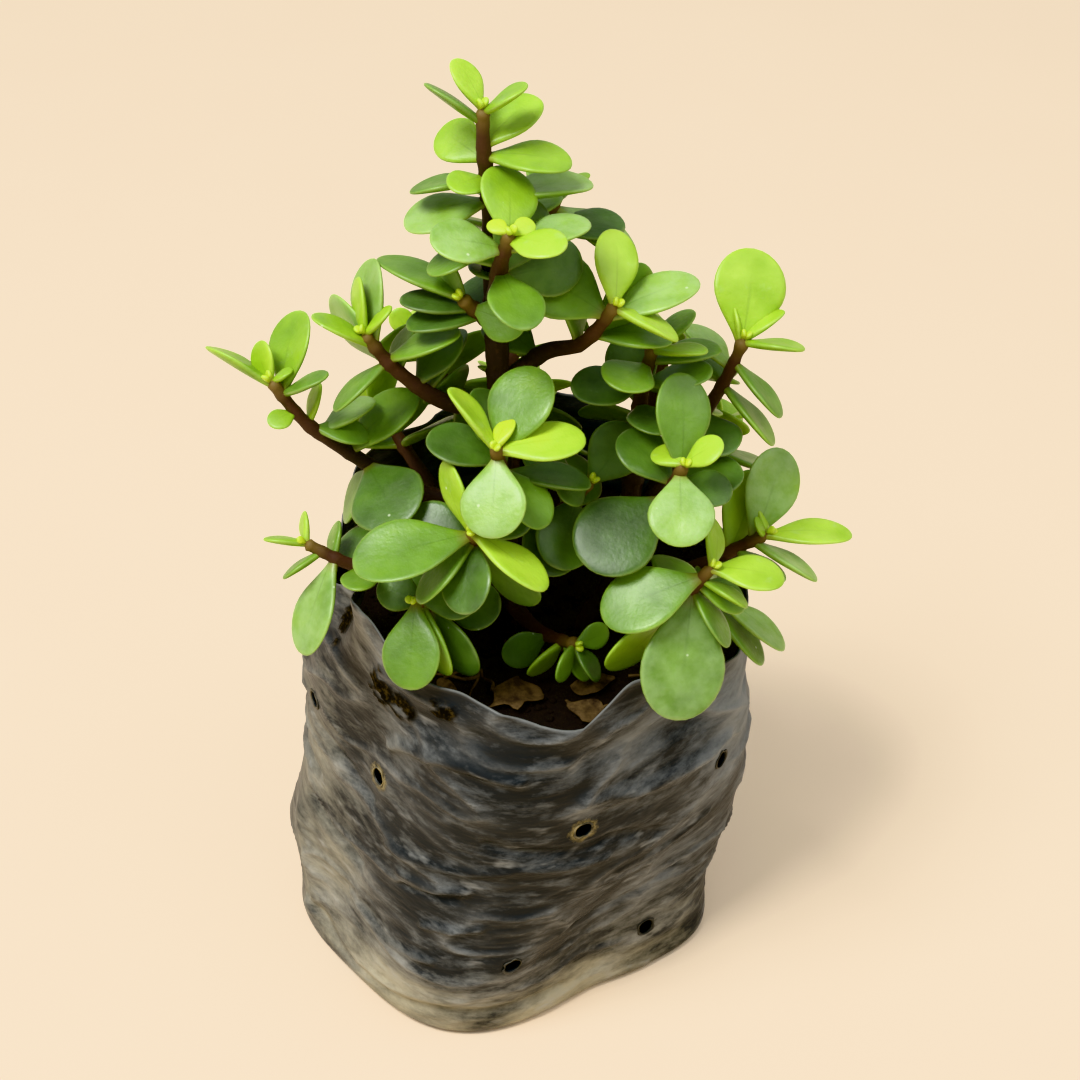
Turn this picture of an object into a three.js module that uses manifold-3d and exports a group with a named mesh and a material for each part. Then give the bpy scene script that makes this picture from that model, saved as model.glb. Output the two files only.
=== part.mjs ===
// A small-leaved jade plant growing in a slumped black film grow bag.
// Millimetres, +Z up. The origin is the middle of the bag's flat bottom; -Y is the front.
import * as THREE from 'three';
import { mergeVertices } from 'three/addons/utils/BufferGeometryUtils.js';
import Module from 'manifold-3d';

const wasm = await Module();
wasm.setup();

// ---------------------------------------------------------------- driving dimensions
const GAP = 0.3;                 // clearance between pieces that touch
const WELD = 1e-4;               // points closer than this are one

// The bag is a 6 inch lay-flat tube: about 305 mm round, seen here as a rounded square.
const FILM = 1.0;                // modelled thickness of the film
const BAG_SIDES = 32;
const CORNER_TURN = -8;          // degrees from +X to the nearest corner of the square
const BOTTOM_CHAMFER = 3;
// height, middle x, middle y, mean radius, squareness
const SECTIONS = [
  [0, 0, 0, 47, 0.09],
  [20, 1.5, 0, 47.5, 0.085],
  [55, 9, 0, 48, 0.06],
  [80, 9.5, 0.5, 47, 0.045],
  [100, 12, 1, 45.5, 0.02],
  [120, 13, 1, 45, 0.02],
];
// direction in degrees, height of the slumped rim there
const RIM = [
  [-180, 97], [-150, 109], [-125, 102], [-100, 100], [-79, 95.5], [-60, 101.5], [-25, 89],
  [5, 89], [40, 103], [80, 113], [115, 115], [145, 114], [165, 104],
];
// direction in degrees, distance from the origin to the film where it meets the floor
const FOOT = [
  [-180, 47], [-165, 48.5], [-135, 47], [-100, 51], [-60, 44.5], [-38, 49], [-21, 54],
  [-5, 51], [30, 45], [75, 50], [120, 45.5], [155, 49],
];
const FOOT_TOP = 24;                  // the wall is free of the foot's shape above this height
const WALL_ROWS = [11, 22, 42, 62, 78];   // level rows of the wall
const RIM_ROWS = [0.5, 1];            // rows above them, as shares of the way to the rim

// Slack film: how many lobes go round, how deep they are, how they drift with height.
const SLACK = [{ lobes: 3, depth: 0.9, drift: 1 / 14 }, { lobes: 5, depth: 0.6, drift: -1 / 9 }];

// Punched drain holes: direction in degrees, height.
const DRAIN_BORE = 5.5;
const PUNCH_SIDES = 6;
const DRAINS = [
  [-171, 67], [-138, 65], [-76, 66], [-28, 63], [30, 66], [88, 64], [142, 66],
  [-87, 26], [-40, 14], [50, 20], [150, 18],
];

const SOIL_TOP = 88;
const SOIL_LUMPS = 2.2;               // how far the crumbly top rises and falls
const SOIL_WAVES = { broad: 6.5, fine: 3.8, share: 0.6 };   // sizes of the lumps, broad's share
const SOIL_CLEAR = 1.2;               // the root ball stands a little off the film
const SOIL_RINGS = [0.75, 0.48, 0.22];
const LITTER_EDGE = -14;              // in front of this y the soil is level under dead leaves

// Stems: route points from the soil or the joint to the tip, then radius at each end.
const WOOD = {
  trunk: { route: [[4, -2, 66], [4, -3, 100], [3, -2, 125], [3, 0, 150], [2.6, 0.4, 176.5]],
    radii: [3.3, 2.3] },
  side_stem: { route: [[19, -4, 66], [23, -5, 88], [29, -3, 106], [31, 0, 126]],
    radii: [2.7, 1.9] },
};
const WOOD_SIDES = 8;
const SHOOT_SIDES = 5;
const SHOOT_RADII = [2.0, 1.1];
const STEPS = 6;                      // points on each span of a route
const WOOD_EVERY = 2;                 // rings are cut at every second of them on wood
const SHOOT_EVERY = 3;                // and at every third on a shoot

// Leaves of this plant are 5 to 27 mm long and stand in pairs, each pair square to the last.
const LEAF_WIDTH = 0.75;              // width over length, unless a leaf has its own
const LEAF_THICK = 2.1;               // of a full-grown leaf
const LEAF_FULL = 18;                 // length from which a leaf is full thick
const LEAF_WIDEST = 0.6;              // where the blade is widest, over length
const LEAF_STALK = 0.14;              // half width at the stalk, over the greatest
const LEAF_SHOULDER = 0.75;           // below 1 the blade fills out sooner from its stalk
const LEAF_EDGE = 0.6;                // thickness near the ends, over the middle
const LEAF_YOUNG = 0.55;              // thickness of the smallest leaf, over a full one
const LEAF_CUP = 0.045;               // how far the sides rise, over length
const LEAF_BEND = 0.06;               // how far the tip falls, over length
const LEAF_ROWS = [0.09, 0.38, 0.68, 0.92];   // facet rows along a blade
const SMALL_ROWS = [0.12, 0.5, 0.88];         // and along one too small for four
const SMALL_LEAF = 11.5;

// Each row is one leaf: distance back from the shoot's tip, turn round the stem from +X,
// opening from the stem, length, then a twist of the blade and its own width over length
// where it has them.
const SHOOTS = {
  leader: { route: [[2.6, 0.4, 176.8], [2, 1, 190], [1, 0, 203], [1, 0, 211]], leaves: [
    [0.5, 130, 45, 11, 10, 0.6], [1, -10, 50, 10.5, 0, 0.65], [3, 170, 55, 13, 25, 0.7],
    [8, 40, 65, 14.5, 5, 0.7], [11, 135, 80, 12.5, -30], [10, -5, 100, 16.5, -5, 0.7],
    [15, 180, 90, 15, 20, 0.65], [15, -135, 70, 9.5, -10, 0.8], [20, -170, 95, 17],
    [19, 5, 90, 20, -10, 0.6], [26, 50, 85, 18, 0, 0.7], [29, -165, 105, 14, 5, 0.7]] },
  crown: { route: [[3, 0, 170], [4, -9, 183], [6, -14, 193]], leaves: [
    [0.3, 135, 100, 5], [0.3, 30, 80, 5.5], [2.5, 90, 80, 16, 15], [2.5, -20, 50, 13, -10, 0.66],
    [6, 180, 80, 14.5, 10], [6, 20, 70, 17, -35, 0.68], [14, -70, 65, 16, -15, 0.7],
    [12, 125, 120, 12, 10, 0.7], [17, 15, 95, 17, 25, 0.7], [16, 60, 65, 16, 20, 0.7]] },
  nape: { route: [[2.8, 0.2, 164], [-1.5, -2.5, 169], [-3.8, -4, 172.5]], leaves: [
    [1, 145, 65, 20.5, 50, 0.55], [5, 180, 50, 15, 30, 0.6], [1.5, 115, 50, 9.5, -45],
    [4, -15, 100, 12, 20], [8, -165, 35, 16, 20, 0.55], [9, 60, 90, 14, 15]] },
  fork: { route: [[3, 0, 142], [-8, -3, 147], [-17, -5, 156], [-23, -6, 165.5]], leaves: [
    [0.5, 85, 45, 11.5, -40, 0.6], [0.5, 20, 65, 8.5, -10, 0.55], [4, 65, 50, 17.5, -15, 0.68],
    [4, 165, 25, 14, 30, 0.6], [9, 115, 35, 18, -60, 0.65], [8, 10, 95, 16, -5, 0.6],
    [17, 40, 90, 14, 15, 0.8], [8.5, -155, 85, 14.5, 10, 0.6], [20, 50, 115, 16],
    [12, 75, 80, 11, -10]] },
  reach: { route: [[3, -2.4, 118], [-15, -3, 124], [-27, -4, 134], [-36, -5, 143],
    [-42.3, -5, 153.5]], leaves: [
    [2, 145, 40, 16.5, 55, 0.55], [0.5, 80, 40, 8.8, -20, 0.85], [4, 50, 55, 17.5, 5, 0.68],
    [0.5, 10, 60, 5, -5], [4, -15, 80, 12.5, -10, 0.55], [9, -130, 50, 6.5, -45, 0.8],
    [13, 45, 65, 9, -5, 0.65], [16, 35, 110, 13.5, 5, 0.68], [24, 30, 100, 18.5, 15, 0.72],
    [14, 10, 140, 12, 10, 0.65], [29, -70, 105, 20, -20, 0.82], [31, 180, 105, 16, -5, 0.7]] },
  low_left: { route: [[4, -3, 104], [-14, -14, 110], [-27, -19, 117], [-36.5, -19, 122.8]], leaves: [
    [0.5, 70, 65, 7.5, -5, 0.6], [0.5, 175, 20, 9, 30, 0.55], [4, -160, 60, 9.8, 5, 0.6],
    [7, -145, 95, 21, -25, 0.6], [7, 75, 75, 9, 0, 0.7], [12, 110, 95, 13, 30, 0.7],
    [13, -50, 70, 12, -65, 0.65]] },
  right_top: { route: [[3, 0, 148], [12, 1, 156], [20, -4, 162], [26, -9, 174]], leaves: [
    [1, 95, 70, 16, 0, 0.6], [5, 25, 60, 20, -30, 0.62], [1, -15, 75, 14, -25, 0.5],
    [4, 150, 100, 18, -25, 0.78], [10, 55, 55, 17, 40, 0.7], [11, 0, 65, 16, -30, 0.7],
    [16, 105, 80, 18, 20, 0.72], [27, 170, 115, 14, -10, 0.72]] },
  centre: { route: [[3, -2, 124], [4, -14, 136], [3, -24, 151]], leaves: [
    [4, 65, 75, 19, -15], [2, 125, 65, 15.5, 60, 0.55], [0.5, 70, 100, 7.5, -30, 0.65],
    [2, 10, 90, 17.5, -25, 0.62], [4, -95, 95, 16.5, 10, 0.82], [11, -50, 95, 15, -35],
    [9, 160, 80, 15.5, 25], [15, 105, 75, 18, 50], [15, -5, 95, 18, -45, 0.6]] },
  heart: { route: [[3, -2.2, 116], [14, -6, 119], [22, -9, 131]], leaves: [
    [1, 65, 45, 15, 5, 0.8], [2, -140, 70, 11, -15, 0.7], [6, -100, 105, 17, 0, 0.78],
    [6, 150, 80, 15], [11, -105, 90, 17, 15], [11, 70, 85, 16]] },
  right_mid: { route: [[30.3, -1.6, 116], [36, -12, 127], [40, -19, 143]], leaves: [
    [3, 95, 65, 20, 10, 0.62], [0.5, 125, 110, 8.5, -10], [0.5, 25, 45, 9.5, -20],
    [3, -90, 90, 16, 15, 0.84], [8, -10, 75, 12], [8, 135, 85, 15],
    [14, -140, 100, 22, 5, 0.8], [14, 25, 65, 17, -25]] },
  behind_right: { route: [[31, -0.2, 124.5], [32, 2, 142], [34, 0, 158]], leaves: [
    [1, 35, 60, 12, -25, 0.65], [1, -20, 70, 12, -20, 0.55], [4, 0, 85, 15, -15, 0.6],
    [5, -125, 70, 15], [10, -25, 55, 15, 5, 0.7], [10, -155, 80, 17, -10, 0.6],
    [16, 100, 50, 15], [16, -75, 75, 15]] },
  right_high: { route: [[29.6, -2.4, 110], [40, 5, 127], [49, 6, 144], [53, 6, 156]], leaves: [
    [2, 95, 40, 20.5, -5], [0.5, 40, 45, 10.5, -35, 0.55], [1, -20, 65, 13, -15, 0.6],
    [2, 115, 45, 8.5, 45, 0.6], [6, -35, 105, 15, -15, 0.6], [12, -35, 100, 16.5, -15, 0.6],
    [8, 130, 80, 14, 5, 0.68], [12, 95, 90, 14], [20, -80, 85, 15, 30], [20, 80, 110, 15]] },
  right_out: { route: [[27, -4, 98], [44, -4, 103], [60, -4, 113]], leaves: [
    [4, 125, 45, 21, -40, 0.62], [1.5, 5, 30, 19.5, -10, 0.5], [0.5, 115, 85, 8.5, -5, 0.6],
    [4, -25, 65, 16.5, 0, 0.5], [1, 180, 75, 6], [10, 120, 45, 19, -30, 0.68],
    [8, -45, 50, 13, 20, 0.6], [17, -75, 95, 15], [24, -60, 100, 14]] },
  right_front: { route: [[25, -4.6, 92], [36, -22, 105], [46, -29, 125]], leaves: [
    [0.5, 85, 80, 11.5, 30, 0.6], [1, -5, 65, 15, -15, 0.72], [5, -30, 80, 11, -30, 0.62],
    [4, -160, 125, 22, 0, 0.64], [9, -80, 125, 27, 15, 0.66], [9, -40, 100, 14, -20, 0.62],
    [7, -5, 85, 12, 0, 0.7], [12, 95, 110, 14], [18, -130, 125, 18, -55, 0.62]] },
  low_right: { route: [[25.5, -4.5, 95.5], [38, -10, 97], [50, -14, 103]], leaves: [
    [0.5, -35, 55, 18, -10, 0.5], [3, -45, 65, 18, -5, 0.52], [4, 140, 60, 12], [8, 70, 50, 13]] },
  front: { route: [[4, -3, 107], [0, -16, 117], [-2, -29, 134]], leaves: [
    [2.5, -165, 80, 24.5, 20, 0.6], [0.8, -35, 95, 18.5, -45, 0.55], [0.8, 110, 75, 15.5, -60, 0.58],
    [6, -135, 95, 17, 50, 0.66], [7, -100, 80, 15.5, 25], [11, -45, 105, 17, 60, 0.66],
    [6, 40, 105, 14], [11, 160, 80, 16]] },
  front_low: { route: [[4, -2.8, 98], [-6, -18, 104], [-14, -29, 116]], leaves: [
    [1, -95, 90, 18, -10, 0.7], [3, -80, 105, 16, 35, 0.6], [2, 5, 105, 12.5],
    [5, 155, 70, 11], [7, -65, 110, 17, 30, 0.62], [11, 0, 90, 14], [10, 120, 80, 13]] },
  low_front: { route: [[4, -3, 94], [11, -15, 95], [19, -26, 101]], leaves: [
    [0.5, 20, 75, 8], [1, -105, 85, 9, -30, 0.7], [1, -60, 70, 9.5, -35, 0.66],
    [5, -125, 110, 10.5, -30, 0.66], [5, -75, 60, 10, -20, 0.66], [11, -160, 95, 11]] },
  back_top: { route: [[2.8, 0.2, 160], [10, 10, 172], [15, 16, 184]], leaves: [
    [0.6, 20, 35, 8], [1, -160, 35, 8], [3, 5, 95, 20, 25, 0.65], [3, 110, 60, 13.5],
    [6, -20, 75, 16, 30], [7, 160, 80, 17], [12, -160, 85, 17], [12, 70, 90, 18],
    [18, 20, 100, 17], [18, -110, 100, 17]] },
  // The back of the plant: plain shoots by the growth rule below.
  back_left: { route: [[3, 0, 136], [-9, 13, 141], [-16, 23, 146]],
    pairs: { turn: 60, seed: 2 } },
  back_mid: { route: [[3, -2, 122], [5, 15, 132], [6, 28, 146]],
    pairs: { turn: 10, seed: 3 } },
  back_right: { route: [[30.4, -1.2, 119], [35, 14, 130], [39, 25, 144]],
    pairs: { turn: -20, seed: 4 } },
  back_low_left: { route: [[4, -2.8, 108], [-13, 14, 113], [-25, 27, 126]],
    pairs: { turn: 40, seed: 5, count: 4 } },
  back_low: { route: [[4, -3, 102], [5, 20, 108], [8, 36, 124]],
    pairs: { turn: 80, seed: 6, count: 4 } },
  back_low_right: { route: [[28, -3.4, 102], [42, 16, 108], [52, 24, 122]],
    pairs: { turn: 0, seed: 7, count: 4 } },
};
// A plain shoot's pairs, youngest first: back from the tip, opening, length.
const PLAIN_PAIRS = [[0.6, 35, 7.5], [3, 60, 13], [7, 78, 16.5], [12, 90, 17], [18, 98, 16]];
const PLAIN_SPREAD = { turn: 14, open: 9, length: 0.08, apart: 0.4 };   // how far leaves stray
const PLAIN_STRIDE = 17;              // draws set aside for each plain shoot

// Dead leaves lying on the soil: x, y, heading in degrees, length, width.
const LITTER = [
  [0, -32, 25, 13, 8], [17, -30, -35, 10, 6.5], [-8, -33, 100, 9, 6], [27, -24, 200, 9, 5.5],
];
const LITTER_THICK = 0.9;

const COLOURS = {
  grow_bag: { color: 0x3b3c3a, roughness: 0.5, metalness: 0 },
  soil: { color: 0x2a1f17, roughness: 1, metalness: 0 },
  wood: { color: 0x4a2c1b, roughness: 0.85, metalness: 0 },
  shoot: { color: 0x6c9a38, roughness: 0.45, metalness: 0 },
  litter: { color: 0x8a6a34, roughness: 0.9, metalness: 0 },
};

// ---------------------------------------------------------------- small tools
const rad = THREE.MathUtils.degToRad;
const vec = (p) => new THREE.Vector3(...p);
const blend = THREE.MathUtils.lerp;

// A repeatable draw between -1 and 1.
function draw(k) {
  const s = Math.sin(k * 12.9898 + 4.1) * 43758.5453;
  return (s - Math.floor(s)) * 2 - 1;
}

function catmullRom(a, b, c, d, t) {
  return 0.5 * (2 * b + (c - a) * t + (2 * a - 5 * b + 4 * c - d) * t * t
    + (3 * b - a - 3 * c + d) * t * t * t);
}

// A smooth line through the points of a route.
function smoothRoute(points) {
  const p = points.map(vec);
  const before = p[0].clone().multiplyScalar(2).sub(p[1]);
  const after = p.at(-1).clone().multiplyScalar(2).sub(p.at(-2));
  const q = [before, ...p, after];
  const line = [];
  for (let i = 0; i < p.length - 1; i++) {
    for (let k = 0; k < STEPS; k++) {
      const at = (axis) => catmullRom(...q.slice(i, i + 4).map((point) => point[axis]), k / STEPS);
      line.push(new THREE.Vector3(at('x'), at('y'), at('z')));
    }
  }
  line.push(p.at(-1).clone());
  return line;
}

// The point and heading that lie a distance back from a line's tip.
function backFromTip(line, distance) {
  let left = distance;
  for (let i = line.length - 1; i > 0; i--) {
    const span = line[i].clone().sub(line[i - 1]);
    const length = span.length();
    if (left <= length || i === 1) {
      const heading = span.divideScalar(length);
      return { point: line[i].clone().addScaledVector(heading, -left), heading };
    }
    left -= length;
  }
  return null;
}

function middle(points) {
  return points.reduce((sum, p) => sum.add(p), new THREE.Vector3()).divideScalar(points.length);
}

// Rings of equal count, closed by a point at each end, as one closed geometry.
function loft(rings, first = middle(rings[0]), last = middle(rings.at(-1))) {
  const sides = rings[0].length;
  const position = [first, ...rings.flat(), last].flatMap((p) => [p.x, p.y, p.z]);
  const index = [];
  const at = (ring, side) => 1 + ring * sides + (side % sides);
  const end = 1 + rings.length * sides;
  for (let s = 0; s < sides; s++) {
    index.push(0, at(0, s + 1), at(0, s));
    for (let r = 0; r < rings.length - 1; r++) {
      index.push(at(r, s), at(r, s + 1), at(r + 1, s + 1), at(r, s), at(r + 1, s + 1), at(r + 1, s));
    }
    index.push(end, at(rings.length - 1, s), at(rings.length - 1, s + 1));
  }
  const geometry = new THREE.BufferGeometry();
  geometry.setAttribute('position', new THREE.Float32BufferAttribute(position, 3));
  geometry.setIndex(index);
  return geometry;
}

function toSolid(geometry) {
  const merged = mergeVertices(geometry, WELD);
  const solid = new wasm.Manifold(new wasm.Mesh({
    numProp: 3,
    vertProperties: Float32Array.from(merged.attributes.position.array),
    triVerts: Uint32Array.from(merged.index.array),
  }));
  if (solid.volume() < 0) throw new Error('a piece is inside out');
  return solid;
}

function toGeometry(solid) {
  const mesh = solid.getMesh();
  const geometry = new THREE.BufferGeometry();
  const position = [];
  for (let i = 0; i < mesh.numVert; i++) {
    const at = i * mesh.numProp;
    position.push(mesh.vertProperties[at], mesh.vertProperties[at + 1], mesh.vertProperties[at + 2]);
  }
  geometry.setAttribute('position', new THREE.Float32BufferAttribute(position, 3));
  geometry.setIndex(Array.from(mesh.triVerts));
  geometry.computeVertexNormals();
  return geometry;
}

// The largest body of a solid; loose scraps left by a cut are dropped.
function largestBody(solid) {
  return solid.decompose().sort((a, b) => b.volume() - a.volume())[0];
}

// ---------------------------------------------------------------- the bag
function sectionAt(z) {
  const height = Math.min(Math.max(z, 0), SECTIONS.at(-1)[0]);
  const i = Math.min(SECTIONS.findLastIndex((s) => s[0] <= height), SECTIONS.length - 2);
  const t = (height - SECTIONS[i][0]) / (SECTIONS[i + 1][0] - SECTIONS[i][0]);
  const [, x, y, radius, square] = SECTIONS[i].map((value, k) => blend(value, SECTIONS[i + 1][k], t));
  return { x, y, radius, square };
}

// The value a list of directions and values gives at any direction round the bag.
function roundValue(list, degrees) {
  const turn = ((degrees + 180) % 360 + 360) % 360 - 180;
  const n = list.length;
  const i = list.findLastIndex(([at]) => at <= turn);
  const next = i === n - 1 ? 180 : list[i + 1][0];
  const t = (turn - list[i][0]) / (next - list[i][0]);
  return catmullRom(...[-1, 0, 1, 2].map((k) => list[(i + k + n) % n][1]), t);
}

const rimHeight = (degrees) => roundValue(RIM, degrees);

// Distance from the section's middle to the film: a rounded square with shallow slack lobes,
// spread at the foot where the soil's weight presses the film out.
function wallRadius(degrees, z) {
  const { radius, square } = sectionAt(z);
  const slack = SLACK.reduce((sum, { lobes, depth, drift }) => (
    sum + depth * Math.sin(rad(lobes * degrees) + drift * z)), 0);
  const squared = radius * (1 + square * Math.cos(4 * rad(degrees - CORNER_TURN)));
  const free = THREE.MathUtils.smoothstep(z, 0, FOOT_TOP);
  return blend(roundValue(FOOT, degrees), squared + slack, free);
}

function wallPoint(degrees, z, inset) {
  const { x, y } = sectionAt(z);
  const r = wallRadius(degrees, z) - inset;
  return new THREE.Vector3(x + r * Math.cos(rad(degrees)), y + r * Math.sin(rad(degrees)), z);
}

function ring(height, inset) {
  return Array.from({ length: BAG_SIDES }, (_, s) => {
    const degrees = (s * 360) / BAG_SIDES;
    return wallPoint(degrees, typeof height === 'function' ? height(degrees) : height, inset);
  });
}

function wallRings(inset) {
  const top = WALL_ROWS.at(-1);
  return [
    ...WALL_ROWS.map((z) => ring(z, inset)),
    ...RIM_ROWS.map((share) => ring((degrees) => blend(top, rimHeight(degrees), share), inset)),
  ];
}

function bagSolid() {
  const outside = [ring(0, BOTTOM_CHAMFER), ring(BOTTOM_CHAMFER, 0), ...wallRings(0)];
  const inside = [
    ring(FILM, BOTTOM_CHAMFER + FILM / 2), ring(BOTTOM_CHAMFER + FILM / 2, FILM), ...wallRings(FILM),
  ];
  const shell = toSolid(loft([...outside, ...inside.reverse()]));
  return DRAINS.reduce((bag, [degrees, z]) => bag.subtract(drainPunch(degrees, z)), shell);
}

// A punch that stands square to the wall and goes through the film only.
function drainPunch(degrees, z) {
  const punch = new THREE.CylinderGeometry(DRAIN_BORE / 2, DRAIN_BORE / 2, 4 * FILM, PUNCH_SIDES);
  punch.deleteAttribute('normal');
  punch.deleteAttribute('uv');
  punch.rotateZ(Math.PI / 2).rotateZ(rad(degrees));
  const at = wallPoint(degrees, z, FILM / 2);
  return toSolid(punch.translate(at.x, at.y, at.z));
}

// ---------------------------------------------------------------- the soil
function soilHeight(x, y) {
  if (y < LITTER_EDGE) return SOIL_TOP;
  const broad = Math.sin(x / SOIL_WAVES.broad + 1.3) * Math.cos(y / SOIL_WAVES.broad);
  const fine = Math.sin((x - y) / SOIL_WAVES.fine);
  return SOIL_TOP + SOIL_LUMPS * blend(fine, broad, SOIL_WAVES.share);
}

function soilSolid(holes) {
  const inset = FILM + SOIL_CLEAR;
  const foot = FILM + GAP;
  const rings = [ring(foot, BOTTOM_CHAMFER + inset), ring(BOTTOM_CHAMFER + foot, inset)];
  for (const z of WALL_ROWS) rings.push(ring(z, inset));
  const edge = ring(SOIL_TOP - 1, inset + GAP);
  const { x, y } = sectionAt(SOIL_TOP);
  rings.push(edge);
  for (const share of SOIL_RINGS) {
    rings.push(edge.map((p) => {
      const px = x + (p.x - x) * share;
      const py = y + (p.y - y) * share;
      return new THREE.Vector3(px, py, soilHeight(px, py));
    }));
  }
  return holes.reduce((soil, hole) => soil.subtract(hole), toSolid(loft(rings)));
}

// ---------------------------------------------------------------- stems and leaves
// A tapering stem along a line; `grow` thickens it all round, for a clearance.
function stemSolid(line, [from, to], sides, every, grow = 0) {
  const kept = line.filter((_, i) => i % every === 0 || i === line.length - 1);
  const along = kept.map((p, i) => (kept[i + 1] ?? p).clone().sub(kept[i - 1] ?? p).normalize());
  let across = new THREE.Vector3(0, 1, 0).cross(along[0]).normalize();
  const rings = kept.map((p, i) => {
    across = across.clone().addScaledVector(along[i], -across.dot(along[i])).normalize();
    const up = along[i].clone().cross(across);
    const radius = blend(from, to, i / (kept.length - 1)) + grow;
    const end = i === 0 ? -grow : i === kept.length - 1 ? grow : 0;
    return Array.from({ length: sides }, (_, s) => {
      const turn = (s * 2 * Math.PI) / sides;
      return p.clone().addScaledVector(along[i], end)
        .addScaledVector(across, radius * Math.cos(turn)).addScaledVector(up, radius * Math.sin(turn));
    });
  });
  return toSolid(loft(rings));
}

// Half width of a blade over its greatest half width: a short stalk, then a round paddle.
function leafOutline(t) {
  if (t > LEAF_WIDEST) return Math.sqrt(Math.max(0, 1 - ((t - LEAF_WIDEST) / (1 - LEAF_WIDEST)) ** 2));
  const swell = ((1 - Math.cos((Math.PI * t) / LEAF_WIDEST)) / 2) ** LEAF_SHOULDER;
  return blend(LEAF_STALK, 1, swell);
}

// A point of the blade's middle surface: t along it, s from -1 to 1 across it.
function bladePoint(leaf, t, s) {
  const rise = leaf.length * (LEAF_CUP * s * s - LEAF_BEND * t * t);
  return leaf.base.clone().addScaledVector(leaf.along, t * leaf.length)
    .addScaledVector(leaf.across(), (s * leaf.width) / 2).addScaledVector(leaf.face, rise);
}

// A fleshy blade: keeled sections through the middle surface, pointed at both ends.
function leafSolid(leaf, grow = 0) {
  const half = leaf.thick / 2;
  const reach = 1 + grow / leaf.length;
  const rings = (leaf.length < SMALL_LEAF ? SMALL_ROWS : LEAF_ROWS).map((t) => {
    const w = leafOutline(t) + (2 * grow) / leaf.width;
    const thick = half * blend(LEAF_EDGE, 1, Math.sin(Math.PI * Math.min(1, t + 0.1))) + grow;
    return Array.from({ length: 4 }, (_, k) => {
      const turn = (k * Math.PI) / 2;
      return bladePoint(leaf, t * reach, w * Math.cos(turn))
        .addScaledVector(leaf.face, thick * Math.sin(turn));
    });
  });
  const root = bladePoint(leaf, 0, 0).addScaledVector(leaf.along, -grow);
  const tip = bladePoint(leaf, reach, 0).addScaledVector(leaf.along, grow / 2);
  return toSolid(loft(rings, root, tip));
}

function plainLeaves({ turn, seed, count = PLAIN_PAIRS.length }) {
  return PLAIN_PAIRS.slice(0, count).flatMap(([at, open, length], i) => [0, 1].map((side) => {
    const k = seed * PLAIN_STRIDE + i * 2 + side;
    return [
      at + side * PLAIN_SPREAD.apart,
      turn + 90 * i + 180 * side + PLAIN_SPREAD.turn * draw(k + 0.3),
      open + PLAIN_SPREAD.open * draw(k + 0.6),
      length * (1 + PLAIN_SPREAD.length * draw(k + 0.9)),
    ];
  }));
}

// A leaf as it leaves its stem: where it starts, which way it points and which way it faces.
function growLeaf(line, [at, turn, open, length, twist = 0, width = LEAF_WIDTH]) {
  const { point, heading } = backFromTip(line, at);
  const right = new THREE.Vector3(1, 0, 0).addScaledVector(heading, -heading.x).normalize();
  const back = heading.clone().cross(right);
  const out = right.multiplyScalar(Math.cos(rad(turn))).addScaledVector(back, Math.sin(rad(turn)));
  const along = heading.clone().multiplyScalar(Math.cos(rad(open)))
    .addScaledVector(out, Math.sin(rad(open)));
  const face = heading.clone().addScaledVector(along, -heading.dot(along)).normalize();
  face.applyAxisAngle(along, rad(twist));
  return {
    base: point, along, face, length, width: width * length,
    thick: LEAF_THICK * Math.min(1, blend(LEAF_YOUNG, 1, length / LEAF_FULL)),
    across() { return this.face.clone().cross(this.along); },
  };
}

// ---------------------------------------------------------------- leaves lean apart
// Points of a blade that are tested: along it and across it. The fourth is its middle.
const PROBES = [
  [0.32, 0], [0.52, -0.55], [0.52, 0.55], [0.6, 0], [0.78, -0.5], [0.78, 0.5], [0.84, 0], [0.97, 0],
];
const OUTER_PROBE = 0.5;         // on its own shoot a leaf is tested from here out
const LEAF_ROOM = 3.2;           // middle to middle, between two blades
const STEM_ROOM = 1.8;           // blade middle to stem skin
const FILM_ROOM = 2.6;
const SETTLE_ROUNDS = 40;
const SETTLE_STEP = 0.5;

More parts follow.
